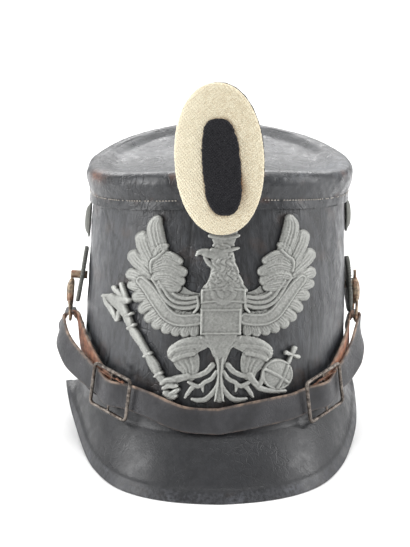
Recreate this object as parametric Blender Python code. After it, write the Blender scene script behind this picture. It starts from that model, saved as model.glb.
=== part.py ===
"""A leather shako: oval crown, stitched cap, two peaks, chin strap, badge and eagle plate.

The hat is modelled upright, with its base plane at height zero, its front towards -Y and
the wearer's left towards +X. One empty then tips it back, the way it stands on its peaks.
Lengths are metres. Angles round the hat start at the front and turn towards +X.
"""
import math
from collections import namedtuple

import bmesh
import bpy
import numpy as np
from mathutils import Vector

# Crown, the oval leather wall
BASE_WIDTH = 0.1634
BASE_LENGTH = 0.2046
CROWN_HEIGHT = 0.147        # base plane to the ridge of the cap, at front and back
SIDE_DIP = 0.0100           # how much lower the top is at the sides
TOP_LEAN = 0.0050           # the worn top leans to the wearer's left
TOP_BACK = 0.0031           # and sits a little further back than the base
OVAL_POWER = 2.1
LEATHER = 0.0025
GAP = 0.0003
AROUND = 40

# Cap, lid and band in one
CAP_LEATHER = 0.0020
SHOULDER_OUT = 0.0046       # the shoulder stands out this far from the crown wall
BAND_DEPTH = 0.0215
LID_RISE = 0.0008

# Peaks
TIP_BACK = math.radians(5.1)
FRONT_REACH = 0.0300
FRONT_DROP = 0.0372
REAR_REACH = 0.0200
PEAK_LEATHER = 0.0026
PEAK_GAP = 0.0006           # between the peak's flange and the crown wall
FLANGE_HEIGHT = 0.0050
PEAK_SEAT = 0.0022          # the peak leaves the wall this far below the base plane
PEAK_BEND_OUT = 0.52        # where its curve bends, as shares of its reach and drop
PEAK_BEND_DOWN = 0.38
PEAK_STEP = 6.0             # degrees between the cuts that a peak is lofted through
RIM_WIDTH = 0.0080
RIM_RAISE = 0.0007

# Chin strap and its two slider buckles
STRAP_WIDTH = 0.0155
STRAP_LEATHER = 0.0016
STRAP_STEP = 0.006          # between the cuts that the strap is lofted through
BUCKLE_LENGTH = 0.0345
BUCKLE_WIDTH = 0.0250
BUCKLE_WIRE = 0.0011        # radius
BUCKLE_BAR = 0.0008         # radius of the middle bar
BUCKLE_CORNER = 0.0025
BUCKLE_ANGLE = 44.0
STRAP_RISE = 0.0380         # height of the fold over the lug's loop
STRAP_OUT = 0.0100          # how far the strap bows out from the wall

# Side fittings
LUG_SHARE = 0.364           # height of the boss, as a share of CROWN_HEIGHT
LUG_RADIUS = 0.0083
PIN_REACH = 1.60            # of the pin over the boss, as a share of its radius
LUG_THICK = 0.0045
LUG_STUD = 0.0025           # radius of the stud through the cockade
LOOP_WIDTH = 0.0200
LOOP_WIRE = 0.0009
COCKADE_RADIUS = 0.0176
COCKADE_THICK = 0.0018
COCKADE_RIBS = 14
RIB_RISE = 0.45             # share of COCKADE_THICK that every second rib stands up
RIB_NOTCH = 0.03            # share of the radius that the rim steps in between ribs
VENT_RADIUS = 0.0112
VENT_RISE = 0.0036

# Oval field badge
BADGE_WIDTH = 0.0510
BADGE_HEIGHT = 0.0876
BADGE_THICK = 0.0060
BADGE_EDGE = 0.0030
BADGE_TURN = math.radians(3.0)
BADGE_OVER = 0.0095         # its middle stands this far above the ridge of the cap
BADGE_ASIDE = 0.0010        # and this far towards the wearer's left
BADGE_POWER = 2.15          # 2 is an ellipse, more is fuller
BADGE_CENTRE_WIDTH = 0.0215
BADGE_CENTRE_HEIGHT = 0.0550
BADGE_CENTRE_THICK = 0.0012
BADGE_CENTRE_POWER = 2.8
BADGE_CENTRE_ASIDE = 0.0010
BADGE_CENTRE_DOWN = 0.0040
BADGE_BOARD = 0.0014
POST_WIDTH = 0.0120
POST_HEIGHT = 0.0080

# Eagle plate
PLATE_SPAN = 0.0530         # half the wing span
PLATE_CLEAR = 0.0012        # from the strap's upper edge to the tail tip
PLATE_THICK = 0.0011
PLATE_SLICE = 0.0120
FEATHER_CREST = 0.12        # share of a feather's width that is flat on top
STROKE_CREST = 0.45
RELIEF = 0.0026             # height of the cast relief over the plate
PLATE_WRAP = 0.34           # drop of the plate for each unit that it runs back round the wall

CrownRow = namedtuple("CrownRow", "height width length")
CROWN_ROWS = (              # shares of CROWN_HEIGHT, BASE_WIDTH and BASE_LENGTH
    CrownRow(0.00, 1.000, 1.000),
    CrownRow(0.30, 0.991, 0.948),
    CrownRow(0.62, 0.966, 0.877),
    CrownRow(0.82, 0.951, 0.833),
    CrownRow(1.00, 0.950, 0.800),
)

DentRow = namedtuple("DentRow", "angle height spread depth")
CROWN_DENTS = (             # degrees, share of CROWN_HEIGHT, degrees, share of LEATHER
    DentRow(-38, 0.42, 13, 0.45),
    DentRow(33, 0.66, 15, -0.35),
    DentRow(58, 0.30, 12, 0.45),
    DentRow(-72, 0.70, 14, -0.40),
    DentRow(150, 0.45, 22, 0.60),
    DentRow(-140, 0.62, 20, 0.50),
)

CapRow = namedtuple("CapRow", "out down under")
CAP_ROWS = (                # shares of SHOULDER_OUT and BAND_DEPTH, and whether the skin under follows it
    CapRow(0.50, 1.00, True),
    CapRow(0.54, 0.74, True),
    CapRow(0.82, 0.50, False),
    CapRow(1.00, 0.31, True),
    CapRow(0.86, 0.14, False),
    CapRow(0.34, 0.03, True),
    CapRow(-0.55, 0.00, True),
    CapRow(-1.50, 0.05, False),
    CapRow(-2.70, 0.17, True),
    CapRow(-4.20, 0.20, True),
)

PeakRow = namedtuple("PeakRow", "angle reach_right reach_left rise")
FRONT_PEAK_ROWS = (         # degrees, two shares of FRONT_REACH, share of the way up to the base
    PeakRow(0, 1.00, 1.00, 0.00),
    PeakRow(32, 0.87, 0.87, 0.00),
    PeakRow(46, 0.60, 0.58, 0.00),
    PeakRow(56, 0.44, 0.40, 0.05),
    PeakRow(66, 0.37, 0.32, 0.27),
    PeakRow(78, 0.26, 0.32, 0.58),
    PeakRow(89, 0.20, 0.36, 0.86),
)
REAR_PEAK_ROWS = (
    PeakRow(0, 1.00, 1.00, 0.00),
    PeakRow(24, 0.92, 0.92, 0.00),
    PeakRow(38, 0.72, 0.72, 0.08),
    PeakRow(50, 0.46, 0.46, 0.38),
    PeakRow(60, 0.24, 0.24, 0.72),
)

StrapRow = namedtuple("StrapRow", "angle rise_right rise_left out_right out_left turn flare")
STRAP_ROWS = (       # degrees, two shares of STRAP_RISE, two of STRAP_OUT, then degrees twice
    StrapRow(0, 0.125, 0.125, 0.60, 0.60, 0, 0),
    StrapRow(14, 0.200, 0.150, 0.60, 0.60, 0, 0),
    StrapRow(28, 0.235, 0.300, 0.60, 0.60, 4, 0),
    StrapRow(36.5, 0.290, 0.355, 0.66, 0.66, 6, 0),
    StrapRow(44, 0.325, 0.375, 1.04, 1.04, 8, 0),
    StrapRow(53.5, 0.390, 0.430, 0.66, 0.66, 12, 0),
    StrapRow(60, 0.470, 0.500, 0.78, 0.85, 24, 10),
    StrapRow(70, 0.600, 0.620, 0.88, 1.20, 38, 26),
    StrapRow(79, 0.740, 0.800, 0.95, 1.50, 54, 20),
    StrapRow(85.5, 0.890, 0.960, 0.95, 1.48, 74, 0),
    StrapRow(88, 0.980, 1.050, 0.93, 1.30, 88, 0),
)
STRAP_RETURN_ROWS = (       # the inner layer, from the loop back to the middle bar
    StrapRow(88, 0.980, 1.050, 0.36, 0.60, 88, 0),
    StrapRow(85.5, 0.930, 1.000, 0.30, 0.44, 78, 0),
    StrapRow(79, 0.840, 0.920, 0.27, 0.36, 62, 0),
    StrapRow(70, 0.730, 0.800, 0.30, 0.36, 44, 0),
    StrapRow(60, 0.580, 0.620, 0.36, 0.38, 26, 0),
    StrapRow(53.5, 0.460, 0.480, 0.40, 0.42, 14, 0),
    StrapRow(45.5, 0.345, 0.390, 0.62, 0.62, 8, 0),
)

TurnedRow = namedtuple("TurnedRow", "radius height")
VENT_ROWS = (               # shares of VENT_RADIUS and VENT_RISE
    TurnedRow(1.00, 0.00),
    TurnedRow(1.00, 0.22),
    TurnedRow(0.86, 0.30),
    TurnedRow(0.78, 0.55),
    TurnedRow(0.55, 0.85),
    TurnedRow(0.25, 1.00),
)
LUG_ROWS = (                # shares of LUG_RADIUS and LUG_THICK
    TurnedRow(0.40, 0.00),
    TurnedRow(0.86, 0.00),
    TurnedRow(1.00, 0.30),
    TurnedRow(1.00, 0.60),
    TurnedRow(0.70, 0.90),
    TurnedRow(0.30, 1.00),
)
COCKADE_ROWS = (            # from the stud's hole (0) to the rim (1), and share of COCKADE_THICK
    TurnedRow(0.00, 0.0),
    TurnedRow(0.55, 0.0),
    TurnedRow(0.92, 0.0),
    TurnedRow(1.00, 0.4),
    TurnedRow(1.00, 1.0),
    TurnedRow(0.92, 1.3),
    TurnedRow(0.55, 1.2),
    TurnedRow(0.00, 1.5),
)

SideRow = namedtuple("SideRow", "name sign lug_out stud_over cockade_tilt vent_drop")
SIDES = (                   # sign, shares of STRAP_OUT and LUG_RADIUS, degrees, share of VENT_RADIUS
    SideRow("left", -1, 0.84, 1.40, 6.0, 0.32),
    SideRow("right", 1, 0.53, 0.52, 2.0, 0.10),
)

FeatherRow = namedtuple("FeatherRow", "root_across root_up tip_across tip_up width")
FEATHERS = (                # shares of PLATE_SPAN, of the plate's rise, and width of PLATE_SPAN
    FeatherRow(0.50, 0.72, 0.71, 0.995, 0.125),
    FeatherRow(0.55, 0.70, 0.86, 0.935, 0.125),
    FeatherRow(0.58, 0.66, 0.95, 0.835, 0.135),
    FeatherRow(0.60, 0.62, 0.99, 0.730, 0.135),
    FeatherRow(0.62, 0.58, 0.99, 0.630, 0.135),
    FeatherRow(0.62, 0.54, 0.91, 0.530, 0.135),
    FeatherRow(0.60, 0.52, 0.78, 0.445, 0.135),
    FeatherRow(0.50, 0.47, 0.62, 0.395, 0.130),
    FeatherRow(0.40, 0.45, 0.47, 0.365, 0.120),
    FeatherRow(0.30, 0.44, 0.34, 0.355, 0.105),
)

StrokeRow = namedtuple("StrokeRow", "name both height points")
STROKES = (
    # name, mirrored, share of RELIEF, then points: across, up, half width of PLATE_SPAN
    StrokeRow("wing_bone", True, 0.80, ((0.22, 0.49, 0.12), (0.40, 0.56, 0.13), (0.46, 0.66, 0.15),
                                        (0.56, 0.75, 0.12), (0.63, 0.86, 0.09), (0.69, 0.97, 0.04))),
    StrokeRow("wing_web", True, 0.25, ((0.30, 0.48, 0.17), (0.50, 0.52, 0.20), (0.68, 0.58, 0.20),
                                       (0.72, 0.70, 0.20), (0.70, 0.84, 0.14))),
    StrokeRow("wing_scroll", True, 1.00, ((0.24, 0.455, 0.085), (0.36, 0.445, 0.085), (0.50, 0.47, 0.085),
                                          (0.66, 0.54, 0.085), (0.80, 0.60, 0.085), (0.93, 0.66, 0.085))),
    StrokeRow("body", False, 1.25, ((0.00, 0.88, 0.15), (-0.02, 0.75, 0.15), (-0.01, 0.66, 0.19),
                                    (0.00, 0.55, 0.25), (0.00, 0.42, 0.24), (0.00, 0.30, 0.18),
                                    (0.00, 0.24, 0.08))),
    StrokeRow("chest_scroll", False, 1.55, ((-0.26, 0.535, 0.075), (0.00, 0.55, 0.085), (0.26, 0.535, 0.075))),
    StrokeRow("chest_shield", False, 1.50, ((0.00, 0.495, 0.21), (0.00, 0.42, 0.21), (0.00, 0.37, 0.15))),
    StrokeRow("head", False, 1.40, ((0.02, 0.80, 0.13), (-0.12, 0.80, 0.10), (-0.20, 0.79, 0.05),
                                    (-0.27, 0.775, 0.02))),
    StrokeRow("crown_band", False, 1.30, ((-0.12, 0.845, 0.05), (0.12, 0.845, 0.05))),
    StrokeRow("crown_arch", False, 1.10, ((-0.17, 0.90, 0.05), (0.00, 0.915, 0.06), (0.17, 0.90, 0.05))),
    StrokeRow("thigh", True, 1.10, ((0.12, 0.30, 0.12), (0.34, 0.27, 0.15), (0.38, 0.21, 0.15),
                                    (0.32, 0.15, 0.11))),
    StrokeRow("tail_quill", False, 0.90, ((0.00, 0.28, 0.08), (0.00, 0.14, 0.05), (0.00, 0.03, 0.03))),
    StrokeRow("tail_outer", True, 0.70, ((0.06, 0.27, 0.05), (0.13, 0.17, 0.045), (0.22, 0.09, 0.04),
                                         (0.34, 0.03, 0.03))),
    StrokeRow("tail_inner", True, 0.60, ((0.02, 0.20, 0.04), (0.07, 0.10, 0.04), (0.15, 0.03, 0.035),
                                         (0.25, 0.01, 0.025))),
    StrokeRow("tail_bridge", True, 0.50, ((0.30, 0.15, 0.04), (0.22, 0.12, 0.035), (0.17, 0.13, 0.03))),
    StrokeRow("sceptre_claw", False, 1.00, ((-0.33, 0.15, 0.06), (-0.46, 0.09, 0.07), (-0.58, 0.06, 0.05))),
    StrokeRow("sceptre", False, 0.95, ((-0.49, 0.05, 0.05), (-0.60, 0.13, 0.05), (-0.76, 0.28, 0.045),
                                       (-0.88, 0.39, 0.055), (-1.00, 0.49, 0.07), (-1.06, 0.54, 0.09))),
    StrokeRow("sceptre_prong_a", False, 0.75, ((-1.24, 0.60, 0.03), (-1.06, 0.54, 0.05), (-1.10, 0.46, 0.03))),
    StrokeRow("sceptre_prong_b", False, 0.75, ((-1.14, 0.64, 0.03), (-1.05, 0.56, 0.04))),
    StrokeRow("sceptre_prong_c", False, 0.75, ((-1.21, 0.52, 0.03), (-1.06, 0.54, 0.04))),
    StrokeRow("sceptre_prong_d", False, 0.75, ((-1.02, 0.645, 0.03), (-1.03, 0.55, 0.04))),
    StrokeRow("orb_claw", False, 1.00, ((0.33, 0.15, 0.06), (0.42, 0.09, 0.05), (0.52, 0.07, 0.05))),
    StrokeRow("orb", False, 1.30, ((0.50, 0.16, 0.10), (0.56, 0.15, 0.165), (0.68, 0.14, 0.165),
                                   (0.74, 0.13, 0.10))),
    StrokeRow("orb_cross_a", False, 0.90, ((0.70, 0.20, 0.03), (0.79, 0.27, 0.03), (0.85, 0.31, 0.045))),
    StrokeRow("orb_cross_b", False, 0.90, ((0.72, 0.285, 0.045), (0.78, 0.265, 0.03), (0.86, 0.235, 0.045))),
)


def clear_scene():
    for item in list(bpy.data.objects):
        bpy.data.objects.remove(item, do_unlink=True)


def material(name, colour, roughness, metallic=0.0):
    made = bpy.data.materials.new(name)
    made.use_nodes = True
    made.diffuse_color = (*colour, 1.0)
    shader = made.node_tree.nodes["Principled BSDF"]
    shader.inputs["Base Color"].default_value = (*colour, 1.0)
    shader.inputs["Roughness"].default_value = roughness
    shader.inputs["Metallic"].default_value = metallic
    return made


def follow(rows, along, column, at):
    """Read a table at a place between its rows, along a smooth curve."""
    places = [getattr(row, along) for row in rows]
    values = [getattr(row, column) for row in rows]
    slopes = np.gradient(values, places)
    at = min(max(at, places[0]), places[-1])
    index = min(int(np.searchsorted(places, at, side="right")) - 1, len(places) - 2)
    step = places[index + 1] - places[index]
    t = (at - places[index]) / step
    start = (1 + 2 * t) * (1 - t) ** 2 * values[index] + t * (1 - t) ** 2 * step * slopes[index]
    end = t * t * (3 - 2 * t) * values[index + 1] + t * t * (t - 1) * step * slopes[index + 1]
    return float(start + end)


def dent_depth(angle, share):
    depth = 0.0
    for dent in CROWN_DENTS:
        turn = (math.degrees(angle) - dent.angle + 180) % 360 - 180
        rise = (share - dent.height) * CROWN_HEIGHT / (BASE_WIDTH / 2)
        distance = (turn / dent.spread) ** 2 + (math.degrees(rise) / dent.spread) ** 2
        depth += dent.depth * LEATHER * math.exp(-distance)
    return depth


def wall(angle, height, out=0.0):
    """A point on the crown's outer wall, moved straight out by a distance."""
    share = min(max(height / CROWN_HEIGHT, 0.0), 1.0)
    half_width = BASE_WIDTH / 2 * follow(CROWN_ROWS, "height", "width", share)
    half_length = BASE_LENGTH / 2 * follow(CROWN_ROWS, "height", "length", share)
    sine, cosine = math.sin(angle), math.cos(angle)
    scale = (abs(sine) ** OVAL_POWER + abs(cosine) ** OVAL_POWER) ** (-1 / OVAL_POWER)
    x = half_width * sine * scale
    y = -half_length * cosine * scale
    normal = Vector((x / half_width ** 2, y / half_length ** 2, 0)).normalized()
    point = Vector((x + TOP_LEAN * share, y + TOP_BACK * share, height))
    return point + normal * (out - dent_depth(angle, share))


def wall_frame(angle, height):
    """Directions at the wall: round the hat, up the wall and straight out of it."""
    step = 0.001
    round_hat = (wall(angle + step, height) - wall(angle - step, height)).normalized()
    up_wall = (wall(angle, height + step) - wall(angle, height - step)).normalized()
    outward = round_hat.cross(up_wall).normalized()
    return round_hat, up_wall, outward


def ridge_height(angle):
    return CROWN_HEIGHT - SIDE_DIP * math.sin(angle) ** 2


def front_edge_y():
    return wall(0.0, 0.0).y - FRONT_REACH


def floor_height(y):
    """Height, in the upright hat, of the surface that the tipped hat stands on."""
    return -FRONT_DROP + (y - front_edge_y()) * math.tan(TIP_BACK)


def new_object(name, mesh_maker, look, smooth_angle=40.0):
    mesh = bpy.data.meshes.new(name)
    mesh_maker.normal_update()
    mesh_maker.to_mesh(mesh)
    mesh_maker.free()
    mesh.materials.append(look)
    mesh.shade_smooth()
    mesh.set_sharp_from_angle(angle=math.radians(smooth_angle))
    item = bpy.data.objects.new(name, mesh)
    bpy.context.scene.collection.objects.link(item)
    return item


def loft(rings, closed_round=True, closed_along=False, poles=(False, False)):
    """Skin a list of rings, each a list of points; a pole closes an end at its middle."""
    maker = bmesh.new()
    grid = [[maker.verts.new(point) for point in ring] for ring in rings]
    count = len(grid[0])
    spans = len(grid) if closed_along else len(grid) - 1
    for i in range(spans):
        lower, upper = grid[i], grid[(i + 1) % len(grid)]
        for j in range(count if closed_round else count - 1):
            k = (j + 1) % count
            maker.faces.new((lower[j], lower[k], upper[k], upper[j]))
    for is_pole, ring in zip(poles, (grid[0], grid[-1])):
        if is_pole:
            middle = sum((vert.co for vert in ring), Vector()) / count
            tip = maker.verts.new(middle)
            for j in range(count):
                maker.faces.new((ring[j], ring[(j + 1) % count], tip))
        elif not closed_along:
            maker.faces.new(ring)
    bmesh.ops.recalc_face_normals(maker, faces=maker.faces)
    return maker


def turns(count):
    return [2 * math.pi * i / count for i in range(count)]


def make_crown(look):
    heights = (0.0, 0.18, 0.36, 0.54, 0.72, 0.87, 1.0)
    edge_drop = CAP_LEATHER + 3 * GAP

    def ring(share, out):
        return [wall(a, share * (ridge_height(a) - edge_drop), out) for a in turns(AROUND)]

    outer = [ring(share, 0.0) for share in heights]
    inner = [ring(share, -LEATHER) for share in reversed(heights)]
    return new_object("crown", loft(outer + inner, closed_along=True), look)


def cap_skins():
    """The cap's section as (out, down) pairs, outer skin and the skin under it."""
    outer = [Vector((row.out * SHOULDER_OUT, -row.down * BAND_DEPTH)) for row in CAP_ROWS]
    inner = []
    for i, point in enumerate(outer):
        before = outer[max(i - 1, 0)]
        after = outer[min(i + 1, len(outer) - 1)]
        along = (after - before).normalized()
        inner.append(point - Vector((along.y, -along.x)) * CAP_LEATHER)
    inner[0] = Vector((outer[0].x - CAP_LEATHER, outer[0].y))
    return outer, [point for point, row in zip(inner, CAP_ROWS) if row.under]


def make_cap(look):
    outer, inner = cap_skins()

    def ring(point):
        return [wall(a, ridge_height(a) + point.y, point.x) for a in turns(AROUND)]

    def lid_ring(point, share, rise):
        edge = ring(point)
        middle = sum(edge, Vector()) / len(edge)
        made = []
        for corner in edge:
            spot = middle + (corner - middle) * share
            spot.z = middle.z + (corner.z - middle.z) * share + rise
            made.append(spot)
        return made

    shares = (0.66, 0.25)
    lid = [lid_ring(outer[-1], share, LID_RISE * (1 - share)) for share in shares]
    under = [lid_ring(inner[-1], shares[-1], LID_RISE * (1 - shares[-1]))]
    rings = under + [ring(point) for point in reversed(inner)]
    rings += [ring(point) for point in outer] + lid
    return new_object("top_cap", loft(rings, poles=(True, True)), look, 50.0)


def wall_under(angle, height):
    """The wall at a height, carried straight down below the base plane."""
    spot = wall(angle, max(height, 0.0))
    spot.z = height
    return spot


def peak_section(angle, reach, rise):
    """One cut through a peak: down its outer face, over the raised rim and back up inside."""
    out_at = wall(angle, 0.0, 1.0) - wall(angle, 0.0)

    def foot(out):
        """The peak's lower edge lies on the floor, or part of the way up to the base plane."""
        return floor_height((wall(angle, 0.0) + out_at * out).y) * (1 - rise)

    side = PEAK_GAP + PEAK_LEATHER
    run = max(reach - side, GAP)
    edge = foot(side + run)
    top = Vector((side, -PEAK_SEAT))
    bend = Vector((side + run * PEAK_BEND_OUT, top.y + (edge - top.y) * PEAK_BEND_DOWN))
    tip = Vector((side + run, edge))
    face = [top * (1 - t) ** 2 + bend * 2 * (1 - t) * t + tip * t * t for t in np.linspace(0.0, 1.0, 13)]
    lengths = np.cumsum([0.0] + [(b - a).length for a, b in zip(face, face[1:])])
    rim = min(RIM_WIDTH, lengths[-1] * 0.4)

    def at(length):
        return Vector([float(np.interp(length, lengths, [spot[k] for spot in face])) for k in range(2)])

    def square(length, depth):
        """A point under or over the face, by a depth along the face's own normal."""
        along = (at(length + RIM_RAISE) - at(length - RIM_RAISE)).normalized()
        return at(length) + Vector((along.y, -along.x)) * depth

    places = [share * (lengths[-1] - rim) for share in (0.0, 0.25, 0.5, 0.75, 1.0)]
    outer = [Vector((side, FLANGE_HEIGHT))] + [at(place) for place in places]
    outer.append(square(places[-1] + RIM_RAISE, -RIM_RAISE))
    outer.append(square(lengths[-1] - RIM_RAISE, -RIM_RAISE))
    outer.append(Vector((tip.x + RIM_RAISE, foot(tip.x + RIM_RAISE))))
    slope = math.atan2(at(lengths[-1] - RIM_RAISE).y - edge, tip.x - at(lengths[-1] - RIM_RAISE).x)
    inner = [Vector((PEAK_GAP, FLANGE_HEIGHT)), Vector((PEAK_GAP, -PEAK_SEAT))]
    inner += [square(place, PEAK_LEATHER) for place in places[1:]]
    heel = tip.x - PEAK_LEATHER / max(math.sin(slope), 0.5)
    inner.append(Vector((heel, foot(heel))))
    return [wall_under(angle, spot.y) + out_at * spot.x for spot in outer + inner[::-1]]


def make_peak(name, rows, full_reach, centre, look):
    limit = rows[-1].angle
    rings = []
    columns = 2 * int(limit / PEAK_STEP) + 1
    for turn in np.linspace(-limit, limit, columns):
        side = abs(float(turn))
        angle = math.radians(centre + float(turn))
        right = turn > 0 if centre == 0 else turn < 0
        reach = full_reach * follow(rows, "angle", "reach_right" if right else "reach_left", side)
        rings.append(peak_section(angle, reach, max(follow(rows, "angle", "rise", side), 0.0)))
    return new_object(name, loft(rings), look, 60.0)


def strap_station(row, sign):
    """Middle of the strap, its width direction and its outward direction."""
    turn = math.radians(row.angle) * sign
    height = (row.rise_right if sign > 0 else row.rise_left) * STRAP_RISE
    out = (row.out_right if sign > 0 else row.out_left) * STRAP_OUT
    round_hat, up_wall, outward = wall_frame(turn, max(height, 0.002))
    roll = math.radians(row.turn)
    width = up_wall * math.cos(roll) - round_hat * (math.sin(roll) * sign)
    flare = math.radians(row.flare)
    width = width * math.cos(flare) - outward * math.sin(flare)
    return wall(turn, height, out), width.normalized(), outward


def smooth_route(points, spacing):
    """Points along a smooth curve through the given ones, about a spacing apart."""
    made = []
    for i in range(len(points) - 1):
        a = points[max(i - 1, 0)]
        b, c = points[i], points[i + 1]
        d = points[min(i + 2, len(points) - 1)]
        steps = max(1, int(round((c - b).length / spacing)))
        for k in range(steps):
            t = k / steps
            made.append(0.5 * (2 * b + (c - a) * t + (2 * a - 5 * b + 4 * c - d) * t * t
                               + (3 * b - a - 3 * c + d) * t ** 3))
    made.append(points[-1])
    return made


def strap_half(side):
    """From the front middle, out to the lug, over its loop and back to the buckle."""
    middles, widths = [], []
    for row in STRAP_ROWS:
        middle, width, _ = strap_station(row, side)
        middles.append(middle)
        widths.append(width)
    back = [strap_station(row, side)[:2] for row in STRAP_RETURN_ROWS]
    bar = (middles[-1] + back[0][0]) / 2
    outward = (middles[-1] - back[0][0]) / 2
    up = Vector((0, 0, outward.length))
    for turn in (45, 90, 135):
        lean = math.radians(turn)
        middles.append(bar + outward * math.cos(lean) + up * math.sin(lean))
        widths.append(widths[-1])
    for middle, width in back:
        middles.append(middle)
        widths.append(width)
    return middles, widths


def ribbon(middles, widths, width, thick):
    """A flat strip of leather along a route, each width direction squared to the route."""
    rings = []
    count = len(middles)
    for i, middle in enumerate(middles):
        along = (middles[min(i + 1, count - 1)] - middles[max(i - 1, 0)]).normalized()
        across = (widths[i] - along * widths[i].dot(along)).normalized()
        face = across.cross(along)
        half, deep = across * width / 2, face * thick / 2
        rings.append([middle + half + deep, middle - half + deep, middle - half - deep, middle + half - deep])
    return loft(rings)


def make_strap(look):
    route, widths = [], []
    for side in (-1, 1):
        middles, across = strap_half(side)
        fine = smooth_route(middles, STRAP_STEP)
        lengths = np.cumsum([0.0] + [(b - a).length for a, b in zip(middles, middles[1:])])
        fine_lengths = np.cumsum([0.0] + [(b - a).length for a, b in zip(fine, fine[1:])])
        fine_lengths = fine_lengths * lengths[-1] / fine_lengths[-1]
        turned = [Vector([np.interp(at, lengths, [w[k] for w in across]) for k in range(3)])
                  for at in fine_lengths]
        if side < 0:
            route, widths = list(reversed(fine)), list(reversed(turned))
        else:
            route += fine[1:]
            widths += turned[1:]
    return new_object("chin_strap", ribbon(route, widths, STRAP_WIDTH, STRAP_LEATHER), look)


def tube(path, radius, sides, across, closed):
    """A round wire along a path; across is a direction out of the path's plane."""
    rings = []
    count = len(path)
    for i, spot in enumerate(path):
        before = path[i - 1] if closed or i else path[0]
        after = path[(i + 1) % count] if closed or i < count - 1 else path[-1]
        along = (after - before).normalized()
        inside = across.cross(along).normalized()
        rings.append([spot + (inside * math.cos(a) + across * math.sin(a)) * radius for a in turns(sides)])
    return loft(rings, closed_along=closed)


def rounded_frame(width, length, radius):
    """A rounded rectangle round the middle, in flat coordinates."""
    path = []
    for index, (x, y) in enumerate(((1, 1), (-1, 1), (-1, -1), (1, -1))):
        for step in range(3):
            turn = math.radians(90 * index + 45 * step)
            path.append(Vector((x * (width / 2 - radius) + math.cos(turn) * radius,
                                y * (length / 2 - radius) + math.sin(turn) * radius, 0)))
    return path


def unite(base, others, solver="EXACT"):
    """Fuse helper solids into one object and drop the helpers."""
    for other in others:
        cut = base.modifiers.new("fuse", "BOOLEAN")
        cut.operation = "UNION"
        cut.solver = solver
        cut.object = other
    graph = bpy.context.evaluated_depsgraph_get()
    fused = bpy.data.meshes.new_from_object(base.evaluated_get(graph))
    base.modifiers.clear()
    base.data = fused
    for other in others:
        bpy.data.objects.remove(other, do_unlink=True)
    return base


def place_on(item, origin, x_axis, y_axis, z_axis):
    """Move a mesh from flat coordinates onto three axes at a point."""
    for vert in item.data.vertices:
        spot = vert.co.copy()
        vert.co = origin + x_axis * spot.x + y_axis * spot.y + z_axis * spot.z
    if x_axis.cross(y_axis).dot(z_axis) < 0:
        item.data.flip_normals()
    item.data.update()
    item.data.shade_smooth()
    item.data.set_sharp_from_angle(angle=math.radians(50))
    return item


def make_buckle(side, look):
    outline = rounded_frame(BUCKLE_WIDTH, BUCKLE_LENGTH, BUCKLE_CORNER)
    frame = tube(outline, BUCKLE_WIRE, 6, Vector((0, 0, 1)), True)
    item = new_object(f"buckle_{side.name}", frame, look)
    reach = (BUCKLE_WIDTH / 2 - BUCKLE_WIRE * 0.6)
    bar_path = [Vector((-reach, 0, 0)), Vector((0, 0, 0)), Vector((reach, 0, 0))]
    bar = new_object("bar", tube(bar_path, BUCKLE_BAR, 6, Vector((0, 0, 1)), False), look)
    unite(item, [bar])
    row = [r for r in STRAP_ROWS if r.angle == BUCKLE_ANGLE][0]
    before = strap_station(STRAP_ROWS[STRAP_ROWS.index(row) - 1], side.sign)[0]
    after = strap_station(STRAP_ROWS[STRAP_ROWS.index(row) + 1], side.sign)[0]
    middle, width, _ = strap_station(row, side.sign)
    along = (after - before).normalized()
    across = (width - along * width.dot(along)).normalized()
    face = across.cross(along)
    if face.dot(wall_frame(math.radians(row.angle) * side.sign, 0.01)[2]) < 0:
        face = -face
    sink = STRAP_LEATHER / 2 + GAP + BUCKLE_BAR + GAP
    return place_on(item, middle - face * sink, across, along, face)


def disc(radii_heights, sides):
    """Rings of a turned form: (radius, height) pairs from the outer back round to the front."""
    rings = []
    for radius, height in radii_heights:
        ring = []
        for a in turns(sides):
            ring.append(Vector((radius * math.cos(a), radius * math.sin(a), height)))
        rings.append(ring)
    return rings


def side_axes(side, height, tilt=0.0):
    """At a side of the hat: forwards, up and outwards, leaned by a tilt."""
    angle = math.radians(90) * side.sign
    round_hat, up_wall, outward = wall_frame(angle, height)
    lean = math.radians(tilt)
    face = (outward * math.cos(lean) - up_wall * math.sin(lean)).normalized()
    up = (up_wall * math.cos(lean) + outward * math.sin(lean)).normalized()
    return wall(angle, height), round_hat, up, face


def make_vent(side, look):
    section = [(row.radius * VENT_RADIUS, row.height * VENT_RISE) for row in VENT_ROWS]
    item = new_object(f"vent_{side.name}", loft(disc(section, 18), poles=(False, True)), look)
    height = ridge_height(math.radians(90)) - BAND_DEPTH - VENT_RADIUS * (1 + side.vent_drop)
    origin, round_hat, up, face = side_axes(side, height)
    return place_on(item, origin + face * 2 * GAP, round_hat, up, face)


def lug_height():
    return CROWN_HEIGHT * LUG_SHARE


def make_cockade(side, look):
    hole = LUG_STUD + GAP * 2
    deep = COCKADE_THICK
    rings = []
    for row in COCKADE_ROWS:
        ring = []
        for index, a in enumerate(turns(COCKADE_RIBS * 2)):
            raised = index % 2 == 1
            radius = hole + (COCKADE_RADIUS - hole) * row.radius
            if not raised and radius > COCKADE_RADIUS * 0.9:
                radius *= 1 - RIB_NOTCH
            rib = RIB_RISE * row.radius if raised and row.height >= 1.0 else 0.0
            ring.append(Vector((radius * math.cos(a), radius * math.sin(a), deep * (row.height + rib))))
        rings.append(ring)
    item = new_object(f"cockade_{side.name}", loft(rings, closed_along=True), look, 30.0)
    height = lug_height() + side.stud_over * LUG_RADIUS
    origin, round_hat, up, face = side_axes(side, height, -side.cockade_tilt)
    stand = GAP * 2 + COCKADE_RADIUS * math.sin(math.radians(side.cockade_tilt))
    return place_on(item, origin + face * stand, round_hat, up, face)


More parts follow.
